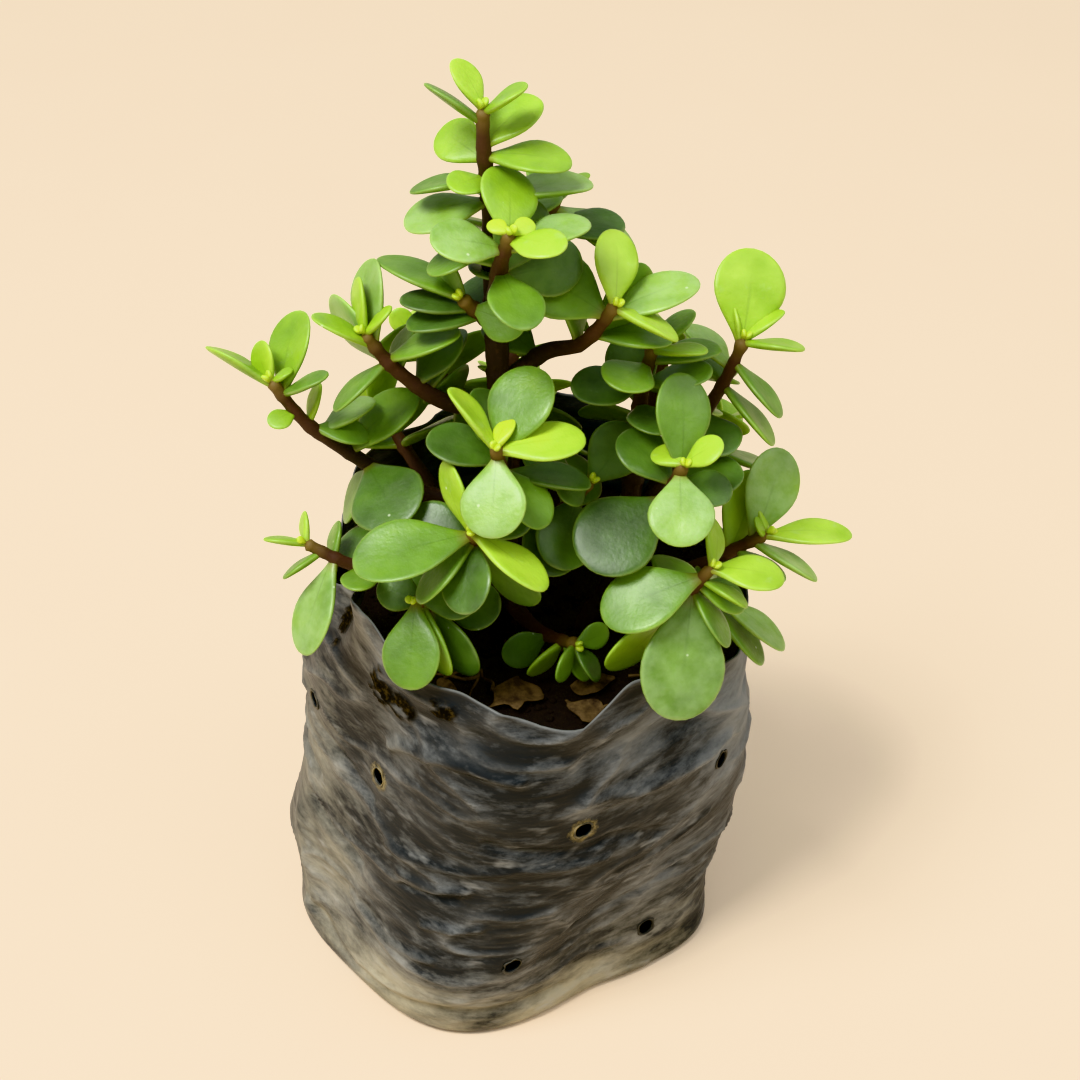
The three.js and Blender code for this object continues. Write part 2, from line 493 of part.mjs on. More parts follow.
function settle(shoots) {
  const leaves = shoots.flatMap((shoot) => shoot.leaves.map((leaf) => Object.assign(leaf, { shoot })));
  const stems = [...shoots, ...WOOD_LINES];
  for (let round = 0; round < SETTLE_ROUNDS; round++) {
    for (const leaf of leaves) {
      leaf.probes = PROBES.map(([t, s]) => bladePoint(leaf, t, s));
      leaf.middle = leaf.probes[3];
      leaf.torque = new THREE.Vector3();
      leaf.weight = 0;
    }
    const push = (leaf, probe, by) => {
      const arm = probe.clone().sub(leaf.base);
      leaf.torque.add(arm.clone().cross(by));
      leaf.weight += arm.lengthSq();
    };
    for (let i = 0; i < leaves.length; i++) {
      const a = leaves[i];
      for (let j = i + 1; j < leaves.length; j++) {
        const b = leaves[j];
        if (a.middle.distanceTo(b.middle) > (a.length + b.length) / 2 + LEAF_ROOM) continue;
        for (let p = 0; p < PROBES.length; p++) {
          for (let q = 0; q < PROBES.length; q++) {
            if (a.shoot === b.shoot && Math.min(PROBES[p][0], PROBES[q][0]) < OUTER_PROBE) continue;
            const apart = a.probes[p].clone().sub(b.probes[q]);
            const distance = apart.length();
            if (distance >= LEAF_ROOM || distance < 1e-6) continue;
            apart.multiplyScalar((LEAF_ROOM - distance) / distance / 2);
            push(a, a.probes[p], apart);
            push(b, b.probes[q], apart.clone().negate());
          }
        }
      }
    }
    for (const leaf of leaves) {
      for (const stem of stems) {
        stem.line.forEach((p, i) => {
          const room = STEM_ROOM + blend(...stem.radii, i / (stem.line.length - 1));
          leaf.probes.forEach((probe, k) => {
            if (stem === leaf.shoot && PROBES[k][0] < OUTER_PROBE) return;
            const apart = probe.clone().sub(p);
            const distance = apart.length();
            if (distance < room) push(leaf, probe, apart.multiplyScalar((room - distance) / distance));
          });
        });
      }
      for (const probe of leaf.probes) {
        const { x, y } = sectionAt(probe.z);
        const turn = THREE.MathUtils.radToDeg(Math.atan2(probe.y - y, probe.x - x));
        const off = Math.hypot(probe.x - x, probe.y - y) - wallRadius(turn, probe.z);
        const below = rimHeight(turn) + FILM_ROOM - probe.z;
        if (below > 0 && Math.abs(off) < FILM_ROOM) {
          push(leaf, probe, new THREE.Vector3(0, 0, Math.min(below, FILM_ROOM)));
        }
        if (off < 0 && probe.z < SOIL_TOP + FILM_ROOM) {
          push(leaf, probe, new THREE.Vector3(0, 0, SOIL_TOP + FILM_ROOM - probe.z));
        }
      }
      if (leaf.weight === 0) continue;
      const spin = leaf.torque.multiplyScalar(SETTLE_STEP / leaf.weight * 2);
      const angle = spin.length();
      if (angle < 1e-9) continue;
      spin.divideScalar(angle);
      leaf.along.applyAxisAngle(spin, angle);
      leaf.face.applyAxisAngle(spin, angle);
    }
  }
}

// ---------------------------------------------------------------- build
const WOOD_LINES = Object.entries(WOOD).map(([name, { route, radii }]) => (
  { name, line: smoothRoute(route), radii }));
const shoots = Object.entries(SHOOTS).map(([name, { route, leaves, pairs }]) => {
  const line = smoothRoute(route);
  const rows = leaves ?? plainLeaves(pairs);
  return { name, line, radii: SHOOT_RADII, leaves: rows.map((row) => growLeaf(line, row)) };
});
settle(shoots);

const jade = new THREE.Group();

function place(name, solid, look) {
  const mesh = new THREE.Mesh(toGeometry(solid), new THREE.MeshStandardMaterial(look));
  mesh.name = name;
  jade.add(mesh);
}

const wood = WOOD_LINES.map(({ name, line, radii }) => ({
  name,
  solid: stemSolid(line, radii, WOOD_SIDES, WOOD_EVERY),
  halo: stemSolid(line, radii, WOOD_SIDES, WOOD_EVERY, GAP),
}));
place('grow_bag', bagSolid(), COLOURS.grow_bag);
place('soil', soilSolid(wood.map((stem) => stem.halo)), COLOURS.soil);
for (const stem of wood) place(stem.name, stem.solid, COLOURS.wood);

// Each shoot is its stem and leaves grown together, cut clear of the wood and of its neighbours.
const halos = wood.map((stem) => stem.halo);
for (const shoot of shoots) {
  const grown = (grow) => wasm.Manifold.union([
    stemSolid(shoot.line, shoot.radii, SHOOT_SIDES, SHOOT_EVERY, grow),
    ...shoot.leaves.map((leaf) => leafSolid(leaf, grow)),
  ]);
  const clear = halos.reduce((solid, halo) => solid.subtract(halo), grown(0));
  place(`shoot_${shoot.name}`, largestBody(clear), COLOURS.shoot);
  halos.push(grown(GAP));
}

// A dead leaf lies on the level soil on its tip and stalk.
LITTER.forEach(([x, y, heading, length, width], i) => {
  const leaf = {
    base: new THREE.Vector3(x, y, SOIL_TOP + GAP + LITTER_THICK / 2 + LEAF_BEND * length),
    along: new THREE.Vector3(Math.cos(rad(heading)), Math.sin(rad(heading)), 0),
    face: new THREE.Vector3(0, 0, 1),
    length, width, thick: LITTER_THICK,
    across() { return this.face.clone().cross(this.along); },
  };
  place(`dead_leaf_${i + 1}`, leafSolid(leaf), COLOURS.litter);
});

export default jade;
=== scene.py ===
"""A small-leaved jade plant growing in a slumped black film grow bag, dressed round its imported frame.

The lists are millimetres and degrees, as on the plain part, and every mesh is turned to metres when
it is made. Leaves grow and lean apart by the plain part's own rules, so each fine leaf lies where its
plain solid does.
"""

import math
from dataclasses import dataclass

import bpy
import numpy as np
from bpy.props import FloatProperty, FloatVectorProperty, IntProperty, PointerProperty
from bpy.types import Operator, Panel, PropertyGroup
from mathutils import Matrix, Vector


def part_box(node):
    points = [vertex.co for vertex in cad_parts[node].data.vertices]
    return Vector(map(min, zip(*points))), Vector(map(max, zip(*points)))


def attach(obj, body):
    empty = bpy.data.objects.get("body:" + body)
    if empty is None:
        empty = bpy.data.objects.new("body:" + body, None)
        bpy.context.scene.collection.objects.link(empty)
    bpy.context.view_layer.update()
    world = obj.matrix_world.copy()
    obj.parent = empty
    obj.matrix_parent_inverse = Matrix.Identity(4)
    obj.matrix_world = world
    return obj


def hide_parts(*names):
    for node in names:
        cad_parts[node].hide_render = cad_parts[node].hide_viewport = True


bl_info = {
    "name": "Potted jade plant",
    "version": (1, 0, 0),
    "blender": (4, 5, 0),
    "location": "3D View > Sidebar > Jade plant",
    "description": "Builds a small-leaved jade plant in a slumped black film grow bag",
    "category": "Object",
}

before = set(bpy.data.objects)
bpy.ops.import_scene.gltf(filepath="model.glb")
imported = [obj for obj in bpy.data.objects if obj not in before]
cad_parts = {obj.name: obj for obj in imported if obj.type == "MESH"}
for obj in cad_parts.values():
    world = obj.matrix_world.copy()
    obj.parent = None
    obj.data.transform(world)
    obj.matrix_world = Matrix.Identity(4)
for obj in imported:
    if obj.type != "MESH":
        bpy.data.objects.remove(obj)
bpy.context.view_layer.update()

MM = 0.001
BODY = "root"

# ---- the bag's lists
# height, middle x, middle y, mean radius, squareness
SECTIONS = np.array([
    [0, 0, 0, 47, 0.09],
    [20, 1.5, 0, 47.5, 0.085],
    [55, 9, 0, 48, 0.06],
    [80, 9.5, 0.5, 47, 0.045],
    [100, 12, 1, 45.5, 0.02],
    [120, 13, 1, 45, 0.02],
])
# direction in degrees, height of the slumped rim there
RIM = np.array([
    [-180, 97], [-150, 109], [-125, 102], [-100, 100], [-79, 96.5], [-60, 101.5], [-25, 89],
    [5, 89], [40, 103], [80, 113], [115, 115], [145, 114], [165, 104],
])
# direction in degrees, distance from the origin to the film where it meets the floor
FOOT = np.array([
    [-180, 47], [-165, 48.5], [-135, 47], [-100, 51], [-60, 44.5], [-38, 49], [-21, 54],
    [-5, 51], [30, 45], [75, 50], [120, 45.5], [155, 49],
])
FOOT_TOP = 24  # the wall is free of the foot's shape above this height
CORNER_TURN = -8  # degrees from +X to the nearest corner of the square
BOTTOM_ROUND = 3
BAG_ROUND = 48  # a middling radius, to turn degrees into millimetres of film
# Punched drain holes: direction in degrees, height, how far soil water has stained the lip.
DRAINS = [
    [-171, 67, 0.3], [-138, 65, 1], [-76, 66, 1], [-28, 63, 0.1], [30, 66, 0.4], [88, 64, 0.2],
    [142, 66, 0.6], [-87, 26, 0.15], [-40, 14, 0], [50, 20, 0], [150, 18, 0.2],
]
# Soil dried on the film under the rim: direction, height, half width in degrees, half height.
STUCK_DIRT = [[-139, 91, 7, 6], [-131, 89, 5, 4.5], [-116, 95, 4, 3], [-165, 95, 2.5, 8], [96, 92, 8, 4]]
# Pale patches on the film, partly tan dust and partly painted blue-grey sheen: direction, height, half width
# in degrees, half height, how much.
PALE = [
    [-59, 84, 15, 9, 0.6], [-20, 74, 16, 22, 0.85], [-168, 50, 14, 22, 0.4], [-152, 24, 18, 20, 0.55],
    [-114, 9, 24, 12, 0.8], [-66, 4, 24, 8, 0.85], [-42, 28, 16, 16, 0.4], [-148, 100, 14, 8, 0.25],
    [-128, 78, 9, 5, 0.25], [40, 70, 30, 25, 0.4], [95, 25, 35, 20, 0.6], [140, 85, 20, 18, 0.5],
]
# Creases pressed into the film: half width, height out of the wall, then direction and height of each point.
CREASES = [
    [1.5, 1.4, [[-134, 76], [-129, 79], [-114, 84], [-104, 85], [-93, 84]]],
    [3.2, -1.6, [[-124, 88], [-116, 90], [-106, 91]]],
    [1.7, 1.5, [[-76, 75], [-59, 71], [-45, 70], [-27, 69]]],
    [3.4, -1.8, [[-76, 87], [-62, 84], [-49, 82], [-36, 79]]],
    [5.0, 1.6, [[-24, 76], [-18, 70]]],
    [1.5, -1.2, [[-176, 63], [-163, 61], [-141, 57]]],
    [2.0, -1.8, [[-166, 39], [-151, 38], [-140, 36]]],
    [3.5, 1.5, [[-170, 30], [-162, 21], [-158, 9]]],
    [1.3, -1.3, [[-160, 10], [-140, 6], [-118, 6], [-105, 9], [-92, 9], [-70, 8]]],
    [1.0, -1.2, [[-122, 42], [-115, 43], [-106, 45]]],
    [1.0, 0.9, [[-124, 45], [-114, 46], [-104, 48]]],
    [0.9, 1.0, [[-113, 34], [-106, 36], [-98, 38]]],
    [1.2, 0.8, [[-130, 50], [-110, 53], [-92, 57], [-69, 55]]],
    [1.6, -1.0, [[-100, 64], [-84, 61], [-66, 60], [-52, 55]]],
    [1.1, 0.8, [[-62, 47], [-46, 45], [-30, 48]]],
    [1.4, -1.0, [[-70, 30], [-52, 28], [-34, 33]]],
    [1.0, 0.8, [[-142, 24], [-124, 22], [-108, 25]]],
]
# Folds of the slack rim: direction, half width in degrees, how far in, how far down the wall.
RIM_FOLDS = [
    [-164, 6, 4.2, 20], [-151, 5, -1.6, 14], [-112, 7, 1.2, 9], [-84, 6, -0.9, 8], [-66, 8, 1.3, 10],
    [-40, 6, -1.0, 9], [-8, 9, 1.6, 8], [16, 7, -1.2, 9], [33, 6, 2.2, 16], [62, 7, -1.4, 14],
    [84, 6, 1.8, 18], [104, 7, -1.2, 16], [131, 6, 2.4, 20], [152, 6, -1.5, 15],
]
# Noise on the film: millimetres across and up to a bump, then its seed.
SWELLS = (32, 22, 1)
SKEW = (11, 14, 8)  # bends the folds and wrinkles out of level
FOLDS = (24, 8, 2)
WRINKLES = (12, 2.6, 3)
WRINKLED_PLACES = (20, 12, 4)
RIPPLES = (7, 30, 5)  # of the slack film near the rim
RIM_EDGE = (8, 1, 6)
DIRT_LUMPS = (2.6, 1.8, 9)
DIRT_GRAINS = (1.3, 1.1, 10)
SLACK = ((0.9, 3, 14), (0.6, 5, -9))  # depth, waves round the bag, millimetres up to a radian
SKEW_BY = (5, 2.5)  # millimetres, with the swells and with SKEW
SHARPNESS = (7, 5)  # of the folds and of the wrinkles
WRINKLED_FROM = (-0.4, 0.3)  # in the noise of places, from smooth film to fully wrinkled
CREST_DUST_AND_SHEEN_BY = (0.6, 0.35)  # how strongly the folds and the wrinkles pale the film: a painted highlight on their crests, with some dust
CREST_MEAN = 0.2  # taken off the crests, so that the film goes in as well as out
RIPPLE_DEPTH = 0.5
RIM_RAGGED = 0.6
RIM_HIGHLIGHT = (0.8, 0.2)  # below the rim, where the painted highlight along the rim's edge starts and where it is brightest
DIRT_THICK = 0.35
DIRT_GRAINY = 0.7  # strength of the grains beside the lumps
DIRT_UNEVEN = 0.8  # how far both break up a patch
DIRT_EDGE = (0.35, 0.7)  # of a patch, from bare film to full thickness
CRUST_REACH = (4, 3.3)  # half width in degrees and half height of the crust round a hole
DRAIN_FLAT = (3, 8)  # the film is flat this near a hole's middle, and free of it from there on
BOTTOM_FADE = (1, 7)  # the film is flat below the first height, and free of the floor from the second
RIPPLES_DOWN = 12  # from the rim
BEND_ROWS = 5  # rows of film round the bottom edge
# Creases of the sides and back: how many, first direction, degrees to the next, then the middle and
# spread of each draw.
BACK_CREASES = 16
BACK_START = -14
BACK_STEP = 12.5
BACK_HEIGHT = (50, 36)
BACK_RISE = (0, 5)
BACK_LENGTH = (26, 10)
BACK_DEPTH = (1.1, 0.3)
BACK_WIDTH = (1.5, 0.5)
BACK_DIP = 2
DRAIN_SPAN = 2  # degrees and millimetres either way, to find how the film lies at a hole
PUNCH_SIDES = 20
PUNCH_REACH = 6
LIP_SIDES = 8
LIP_COLUMNS = 36
LIP_SEED = 7
LIP_BUMPS = 2  # to a hole's radius
LIP_OVAL = 0.06  # how far the hole is out of round, over its radius
LIP_WIDTH = (0.22, 0.2)  # half width, and how much that varies
LIP_HEIGHT = (0.05, 0.2)  # of its middle above the film, and half its thickness

SOIL_TOP = 88
SOIL_ROWS = (2.5, 20, 40, 60, 78)
SOIL_SIDES = 180
SOIL_RINGS = 46
SOIL_INSET = 5  # from the film, below the top
SOIL_CLEAR = 0.35  # from the film, at the top
# The part's broad and fine rise and fall, each as its share and millimetres to a radian.
SOIL_WAVES = ((0.6, 6.5), (0.4, 3.8))
SOIL_PHASE = 1.3  # radians by which the broad one is shifted
SOIL_SUNK = 0.25  # under the plain part's soil
SOIL_MIDDLE = 0.02  # the smallest ring of the top, over its edge
SOIL_GRAIN = ((0.55, 2.6, 11), (0.3, 1.1, 12))  # height, millimetres to a bump and seed
CRUMB_ROWS = 5
CRUMB_SIDES = 8
CRUMB_SQUASH = [1, 0.85, 0.7]
CRUMB_INSET = 3.2  # from the film
CRUMB_LUMPS = (0.35, 1.7, 13)  # depth over the radius, bumps to the radius, seed
CRUMB_APART = (3.1, 2.4)  # from one clod to the next, in its noise and in radians of turn
CRUMB_SPREAD = 0.96  # share of the room inside the film
CRUMB_SIZES = (0.55, 0.9)  # the least over the middling width, and the most that a draw adds
CRUMB_LIFT = 0.12  # how far its middle is above the soil, over its width
LITTER_EDGE = -14  # in front of this y the soil is level under dead leaves
LITTER_FADE = 3  # from level to uneven, either way
FRONT_GRAIN = 0.35  # share of the grain that is left in front

# ---- the plant's lists
# Stems: route points from the soil or the joint to the tip, then the radius at each end.
WOOD = {
    "trunk": ([[4, -2, 66], [4, -3, 100], [3, -2, 125], [3, 0, 150], [2.6, 0.4, 176.5]], (3.3, 2.3)),
    "side_stem": ([[19, -4, 66], [23, -5, 88], [29, -3, 106], [31, 0, 126]], (2.7, 1.9)),
}
SHOOT_RADII = (2.0, 1.1)
LEAF_WIDTH = 0.75  # width over length, unless a leaf has its own
LEAF_THICK = 2.1
LEAF_SLIM = (0.55, 40)  # thickness of the smallest leaf over a full one, and the length that adds a whole
LEAF_CUP = 0.045  # how far the sides rise, over length
LEAF_BEND = 0.06  # how far the tip falls, over length
LEAF_WIDEST = 0.6  # along the blade
LEAF_STALK = 0.14  # half width where it leaves the stem, over the greatest half width
LEAF_SWELL = 0.75  # how fast it widens: the lower, the sooner
LEAF_VARIES = 0.5  # how much a leaf's cup and bend differ from the rest, either way
BLADE_END = 0.985  # of the way to the tip, where a blade's sections stop
TIP_FROM = 0.86  # along the blade, where its thickness starts to round off
TIP_RUN = 0.145
BLADE_THIN = 0.6  # thickness of the thinnest section over the thickest
BLADE_AHEAD = 0.1  # how far before its middle a blade is thickest
RIPENESS_VARIES = 0.05
ROUTE_STEPS = 6  # between two points of a route, where leaves are grown
SHOOT_STEPS = 14  # and in the meshes
WOOD_STEPS = 40
BUD = (78, 20, 2.3)  # turn from the youngest leaf, opening, length
BUD_SEED = 900
LITTER_SEED = 300
# Stem details, each a rise or depth and how far it runs, in millimetres.
JOINT = (0.16, 0.9)  # swelling at a leaf pair
SHOOT_FLARE = (0.25, 3)  # share of the radius, where a shoot leaves the wood
SOIL_FLARE = (1.3, 4)
SCARS = ((0.22, 1.2, 0.7), (-0.16, 2.6, 0.6))  # a ring and the groove above it: rise, where, half width
TIP_ROUND = 0.8
TIP_BLUNT = 0.12  # the least share of TIP_ROUND that is left at the very tip
YOUNG_STEM = 26  # from the tip, until the bark is brown
# Bark noise: rise, bumps to the radius, millimetres to a bump along the stem, seed.
SHOOT_SKIN = (0.09, 1.3, 3.5, 21)
FISSURES = (-0.3, 3, 9, 22)
FISSURE_SHARPNESS = 4
PLATES = (0.14, 3, 9 / 5, 23)

# A shoot's tones, one letter of TONES for each leaf, then its route, then its leaves: distance back
# from the tip, turn round the stem from +X, opening from the stem, length, and where a leaf has them
# the twist of its blade and its own width over length.
SHOOTS = {
    "leader": ("ylglllglwwgg", [[2.6, 0.4, 176.8], [2, 1, 190], [1, 0, 203], [1, 0, 211]], [
        [0.5, 130, 45, 11, 10, 0.6], [1, -10, 50, 10.5, 0, 0.65], [3, 170, 55, 13, 25, 0.7],
        [8, 40, 65, 14.5, 5, 0.7], [11, 135, 80, 12.5, -30], [10, -5, 100, 16.5, -5, 0.7],
        [15, 180, 90, 15, 20, 0.65], [15, -135, 70, 9.5, -10, 0.8], [20, -170, 95, 17],
        [19, 5, 90, 20, -10, 0.6], [26, 50, 85, 18, 0, 0.7], [29, -165, 105, 14, 5, 0.7]]),
    "crown": ("bblywwggdd", [[3, 0, 170], [4, -9, 183], [6, -14, 193]], [
        [0.3, 135, 100, 5], [0.3, 30, 80, 5.5], [2.5, 90, 80, 16, 15], [2.5, -20, 50, 13, -10, 0.66],
        [6, 180, 80, 14.5, 10], [6, 20, 70, 17, -35, 0.68], [14, -70, 65, 16, -15, 0.7],
        [12, 125, 120, 12, 10, 0.7], [17, 15, 95, 17, 25, 0.7], [16, 60, 65, 16, 20, 0.7]]),
    "nape": ("gdwgdd", [[2.8, 0.2, 164], [-1.5, -2.5, 169], [-3.8, -4, 172.5]], [
        [1, 145, 65, 20.5, 50, 0.55], [5, 180, 50, 15, 30, 0.6], [1.5, 115, 50, 9.5, -45],
        [4, -15, 100, 12, 20], [8, -165, 35, 16, 20, 0.55], [9, 60, 90, 14, 15]]),
    "fork": ("yywlwgdgdg", [[3, 0, 142], [-8, -3, 147], [-17, -5, 156], [-23, -6, 165.5]], [
        [0.5, 85, 45, 11.5, -40, 0.6], [0.5, 20, 65, 8.5, -10, 0.55], [4, 65, 50, 17.5, -15, 0.68],
        [4, 165, 25, 14, 30, 0.6], [9, 115, 35, 18, -60, 0.65], [8, 10, 95, 16, -5, 0.6],
        [17, 40, 90, 14, 15, 0.8], [8.5, -155, 85, 14.5, 10, 0.6], [20, 50, 115, 16],
        [12, 75, 80, 11, -10]]),
    "reach": ("lyllglywggdg",
        [[3, -2.4, 118], [-15, -3, 124], [-27, -4, 134], [-36, -5, 143], [-42.3, -5, 153.5]], [
        [2, 145, 40, 16.5, 55, 0.55], [0.5, 80, 40, 8.8, -20, 0.85], [4, 50, 55, 17.5, 5, 0.68],
        [0.5, 10, 60, 5, -5], [4, -15, 80, 12.5, -10, 0.55], [9, -130, 50, 6.5, -45, 0.8],
        [13, 45, 65, 9, -5, 0.65], [16, 35, 110, 13.5, 5, 0.68], [24, 30, 100, 18.5, 15, 0.72],
        [14, 10, 140, 12, 10, 0.65], [29, -70, 105, 20, -20, 0.82], [31, 180, 105, 16, -5, 0.7]]),
    "low_left": ("ylgwgdg", [[4, -3, 104], [-14, -14, 110], [-27, -19, 117], [-36.5, -19, 122.8]], [
        [0.5, 70, 65, 7.5, -5, 0.6], [0.5, 175, 20, 9, 30, 0.55], [4, -160, 60, 9.8, 5, 0.6],
        [7, -145, 95, 21, -25, 0.6], [7, 75, 75, 9, 0, 0.7], [12, 110, 95, 13, 30, 0.7],
        [13, -50, 70, 12, -65, 0.65]]),
    "right_top": ("ywyggggd", [[3, 0, 148], [12, 1, 156], [20, -4, 162], [26, -9, 174]], [
        [1, 95, 70, 16, 0, 0.6], [5, 25, 60, 20, -30, 0.62], [1, -15, 75, 14, -25, 0.5],
        [4, 150, 100, 18, -25, 0.78], [10, 55, 55, 17, 40, 0.7], [11, 0, 65, 16, -30, 0.7],
        [16, 105, 80, 18, 20, 0.72], [27, 170, 115, 14, -10, 0.72]]),
    "centre": ("gybywgddd", [[3, -2, 124], [4, -14, 136], [3, -24, 151]], [
        [4, 65, 75, 19, -15], [2, 125, 65, 15.5, 60, 0.55], [0.5, 70, 100, 7.5, -30, 0.65],
        [2, 10, 90, 17.5, -25, 0.62], [4, -95, 95, 16.5, 10, 0.82], [11, -50, 95, 15, -35],
        [9, 160, 80, 15.5, 25], [15, 105, 75, 18, 50], [15, -5, 95, 18, -45, 0.6]]),
    "heart": ("dddddd", [[3, -2.2, 116], [14, -6, 119], [22, -9, 131]], [
        [1, 65, 45, 15, 5, 0.8], [2, -140, 70, 11, -15, 0.7], [6, -100, 105, 17, 0, 0.78],
        [6, 150, 80, 15], [11, -105, 90, 17, 15], [11, 70, 85, 16]]),
    "right_mid": ("gyywdddd", [[30.3, -1.6, 116], [36, -12, 127], [40, -19, 143]], [
        [3, 95, 65, 20, 10, 0.62], [0.5, 125, 110, 8.5, -10], [0.5, 25, 45, 9.5, -20],
        [3, -90, 90, 16, 15, 0.84], [8, -10, 75, 12], [8, 135, 85, 15], [14, -140, 100, 22, 5, 0.8],
        [14, 25, 65, 17, -25]]),
    "behind_right": ("glgggddd", [[31, -0.2, 124.5], [32, 2, 142], [34, 0, 158]], [
        [1, 35, 60, 12, -25, 0.65], [1, -20, 70, 12, -20, 0.55], [4, 0, 85, 15, -15, 0.6],
        [5, -125, 70, 15], [10, -25, 55, 15, 5, 0.7], [10, -155, 80, 17, -10, 0.6], [16, 100, 50, 15],
        [16, -75, 75, 15]]),
    "right_high": ("yylyggwgdg", [[29.6, -2.4, 110], [40, 5, 127], [49, 6, 144], [53, 6, 156]], [
        [2, 95, 40, 20.5, -5], [0.5, 40, 45, 10.5, -35, 0.55], [1, -20, 65, 13, -15, 0.6],
        [2, 115, 45, 8.5, 45, 0.6], [6, -35, 105, 15, -15, 0.6], [12, -35, 100, 16.5, -15, 0.6],
        [8, 130, 80, 14, 5, 0.68], [12, 95, 90, 14], [20, -80, 85, 15, 30], [20, 80, 110, 15]]),
    "right_out": ("wyywllwdd", [[27, -4, 98], [44, -4, 103], [60, -4, 113]], [
        [4, 125, 45, 21, -40, 0.62], [1.5, 5, 30, 19.5, -10, 0.5], [0.5, 115, 85, 8.5, -5, 0.6],
        [4, -25, 65, 16.5, 0, 0.5], [1, 180, 75, 6], [10, 120, 45, 19, -30, 0.68],
        [8, -45, 50, 13, 20, 0.6], [17, -75, 95, 15], [24, -60, 100, 14]]),
    "right_front": ("yylgsgggl", [[25, -4.6, 92], [36, -22, 105], [46, -29, 125]], [
        [0.5, 85, 80, 11.5, 30, 0.6], [1, -5, 65, 15, -15, 0.72], [5, -30, 80, 11, -30, 0.62],
        [4, -160, 125, 22, 0, 0.64], [9, -80, 125, 27, 15, 0.66], [9, -40, 100, 14, -20, 0.62],
        [7, -5, 85, 12, 0, 0.7], [12, 95, 110, 14], [18, -130, 125, 18, -55, 0.62]]),
    "low_right": ("wggd", [[25.5, -4.5, 95.5], [38, -10, 97], [50, -14, 103]], [
        [0.5, -35, 55, 18, -10, 0.5], [3, -45, 65, 18, -5, 0.52], [4, 140, 60, 12], [8, 70, 50, 13]]),
    "front": ("gyygdddd", [[4, -3, 107], [0, -16, 117], [-2, -29, 134]], [
        [2.5, -165, 80, 24.5, 20, 0.6], [0.8, -35, 95, 18.5, -45, 0.55], [0.8, 110, 75, 15.5, -60, 0.58],
        [6, -135, 95, 17, 50, 0.66], [7, -100, 80, 15.5, 25], [11, -45, 105, 17, 60, 0.66],
        [6, 40, 105, 14], [11, 160, 80, 16]]),
    "front_low": ("ggddddd", [[4, -2.8, 98], [-6, -18, 104], [-14, -29, 116]], [
        [1, -95, 90, 18, -10, 0.7], [3, -80, 105, 16, 35, 0.6], [2, 5, 105, 12.5], [5, 155, 70, 11],
        [7, -65, 110, 17, 30, 0.62], [11, 0, 90, 14], [10, 120, 80, 13]]),
    "low_front": ("ggdlgd", [[4, -3, 94], [11, -15, 95], [19, -26, 101]], [
        [0.5, 20, 75, 8], [1, -105, 85, 9, -30, 0.7], [1, -60, 70, 9.5, -35, 0.66],
        [5, -125, 110, 10.5, -30, 0.66], [5, -75, 60, 10, -20, 0.66], [11, -160, 95, 11]]),
    "back_top": ("llwgdgggdd", [[2.8, 0.2, 160], [10, 10, 172], [15, 16, 184]], [
        [0.6, 20, 35, 8], [1, -160, 35, 8], [3, 5, 95, 20, 25, 0.65], [3, 110, 60, 13.5],
        [6, -20, 75, 16, 30], [7, 160, 80, 17], [12, -160, 85, 17], [12, 70, 90, 18], [18, 20, 100, 17],
        [18, -110, 100, 17]]),
}
# The back of the plant by the growth rule below: route, the first pair's turn, seed, number of pairs.
PLAIN_SHOOTS = {
    "back_left": ([[3, 0, 136], [-9, 13, 141], [-16, 23, 146]], 60, 2, 5),
    "back_mid": ([[3, -2, 122], [5, 15, 132], [6, 28, 146]], 10, 3, 5),
    "back_right": ([[30.4, -1.2, 119], [35, 14, 130], [39, 25, 144]], -20, 4, 5),
    "back_low_left": ([[4, -2.8, 108], [-13, 14, 113], [-25, 27, 126]], 40, 5, 4),
    "back_low": ([[4, -3, 102], [5, 20, 108], [8, 36, 124]], 80, 6, 4),
    "back_low_right": ([[28, -3.4, 102], [42, 16, 108], [52, 24, 122]], 0, 7, 4),
}
PLAIN_TONES = "yyllggggdd"
# How ripe a leaf is, from bud to old, and how much grey-green it carries: wax bloom with painted sheen.
TONES = {
    "b": (0.0, 0.0), "y": (0.24, 0.0), "l": (0.4, 0.08), "g": (0.62, 0.12), "d": (0.86, 0.12),
    "w": (0.5, 0.48), "s": (0.7, 0.36),
}
# A plain shoot's pairs, youngest first: back from the tip, opening, length.
PLAIN_PAIRS = [[0.6, 35, 7.5], [3, 60, 13], [7, 78, 16.5], [12, 90, 17], [18, 98, 16]]
PLAIN_SPREAD = {"turn": 14, "open": 9, "length": 0.08, "apart": 0.4}

# Dead leaves lying on the soil: x, y, heading in degrees, length, width.
LITTER = [[0, -32, 25, 13, 8], [17, -30, -35, 10, 6.5], [-8, -33, 100, 9, 6], [27, -24, 200, 9, 5.5]]
LITTER_THICK = 0.9  # of the plain part's dead leaves, which the dried ones lie in the middle of
LITTER_CLEAR = 0.1  # least height over the soil
LITTER_RAGGED = ((1.6, 3, 40), (1.6, 3, 50), (1.0, 3.5, 60))  # x, y and z: millimetres, to a bump, seed
# Dry stalks: middle and spread of x, y and length, then radii and height over the soil.
STALK_X = (10, 26)
STALK_Y = (-24, 12)
STALK_LENGTH = (8, 4)
STALK_RADII = (0.45, 0.22)
STALK_SIDES = 7
STALK_POINTS = 4
STALK_STEPS = 5  # between two of them
STALK_BEND = (0.12, 0.5)  # to the side over its length, and up or down
STALK_VARIES = 0.3  # of its radii
STALK_LIFT = 1.2
GAP = 0.3


# ---- small tools
def linear(code):
    """An sRGB hex colour as the linear RGBA that Blender's sockets take."""
    srgb = [int(code[i:i + 2], 16) / 255 for i in (1, 3, 5)]
    return (*[c / 12.92 if c <= 0.04045 else ((c + 0.055) / 1.055) ** 2.4 for c in srgb], 1.0)


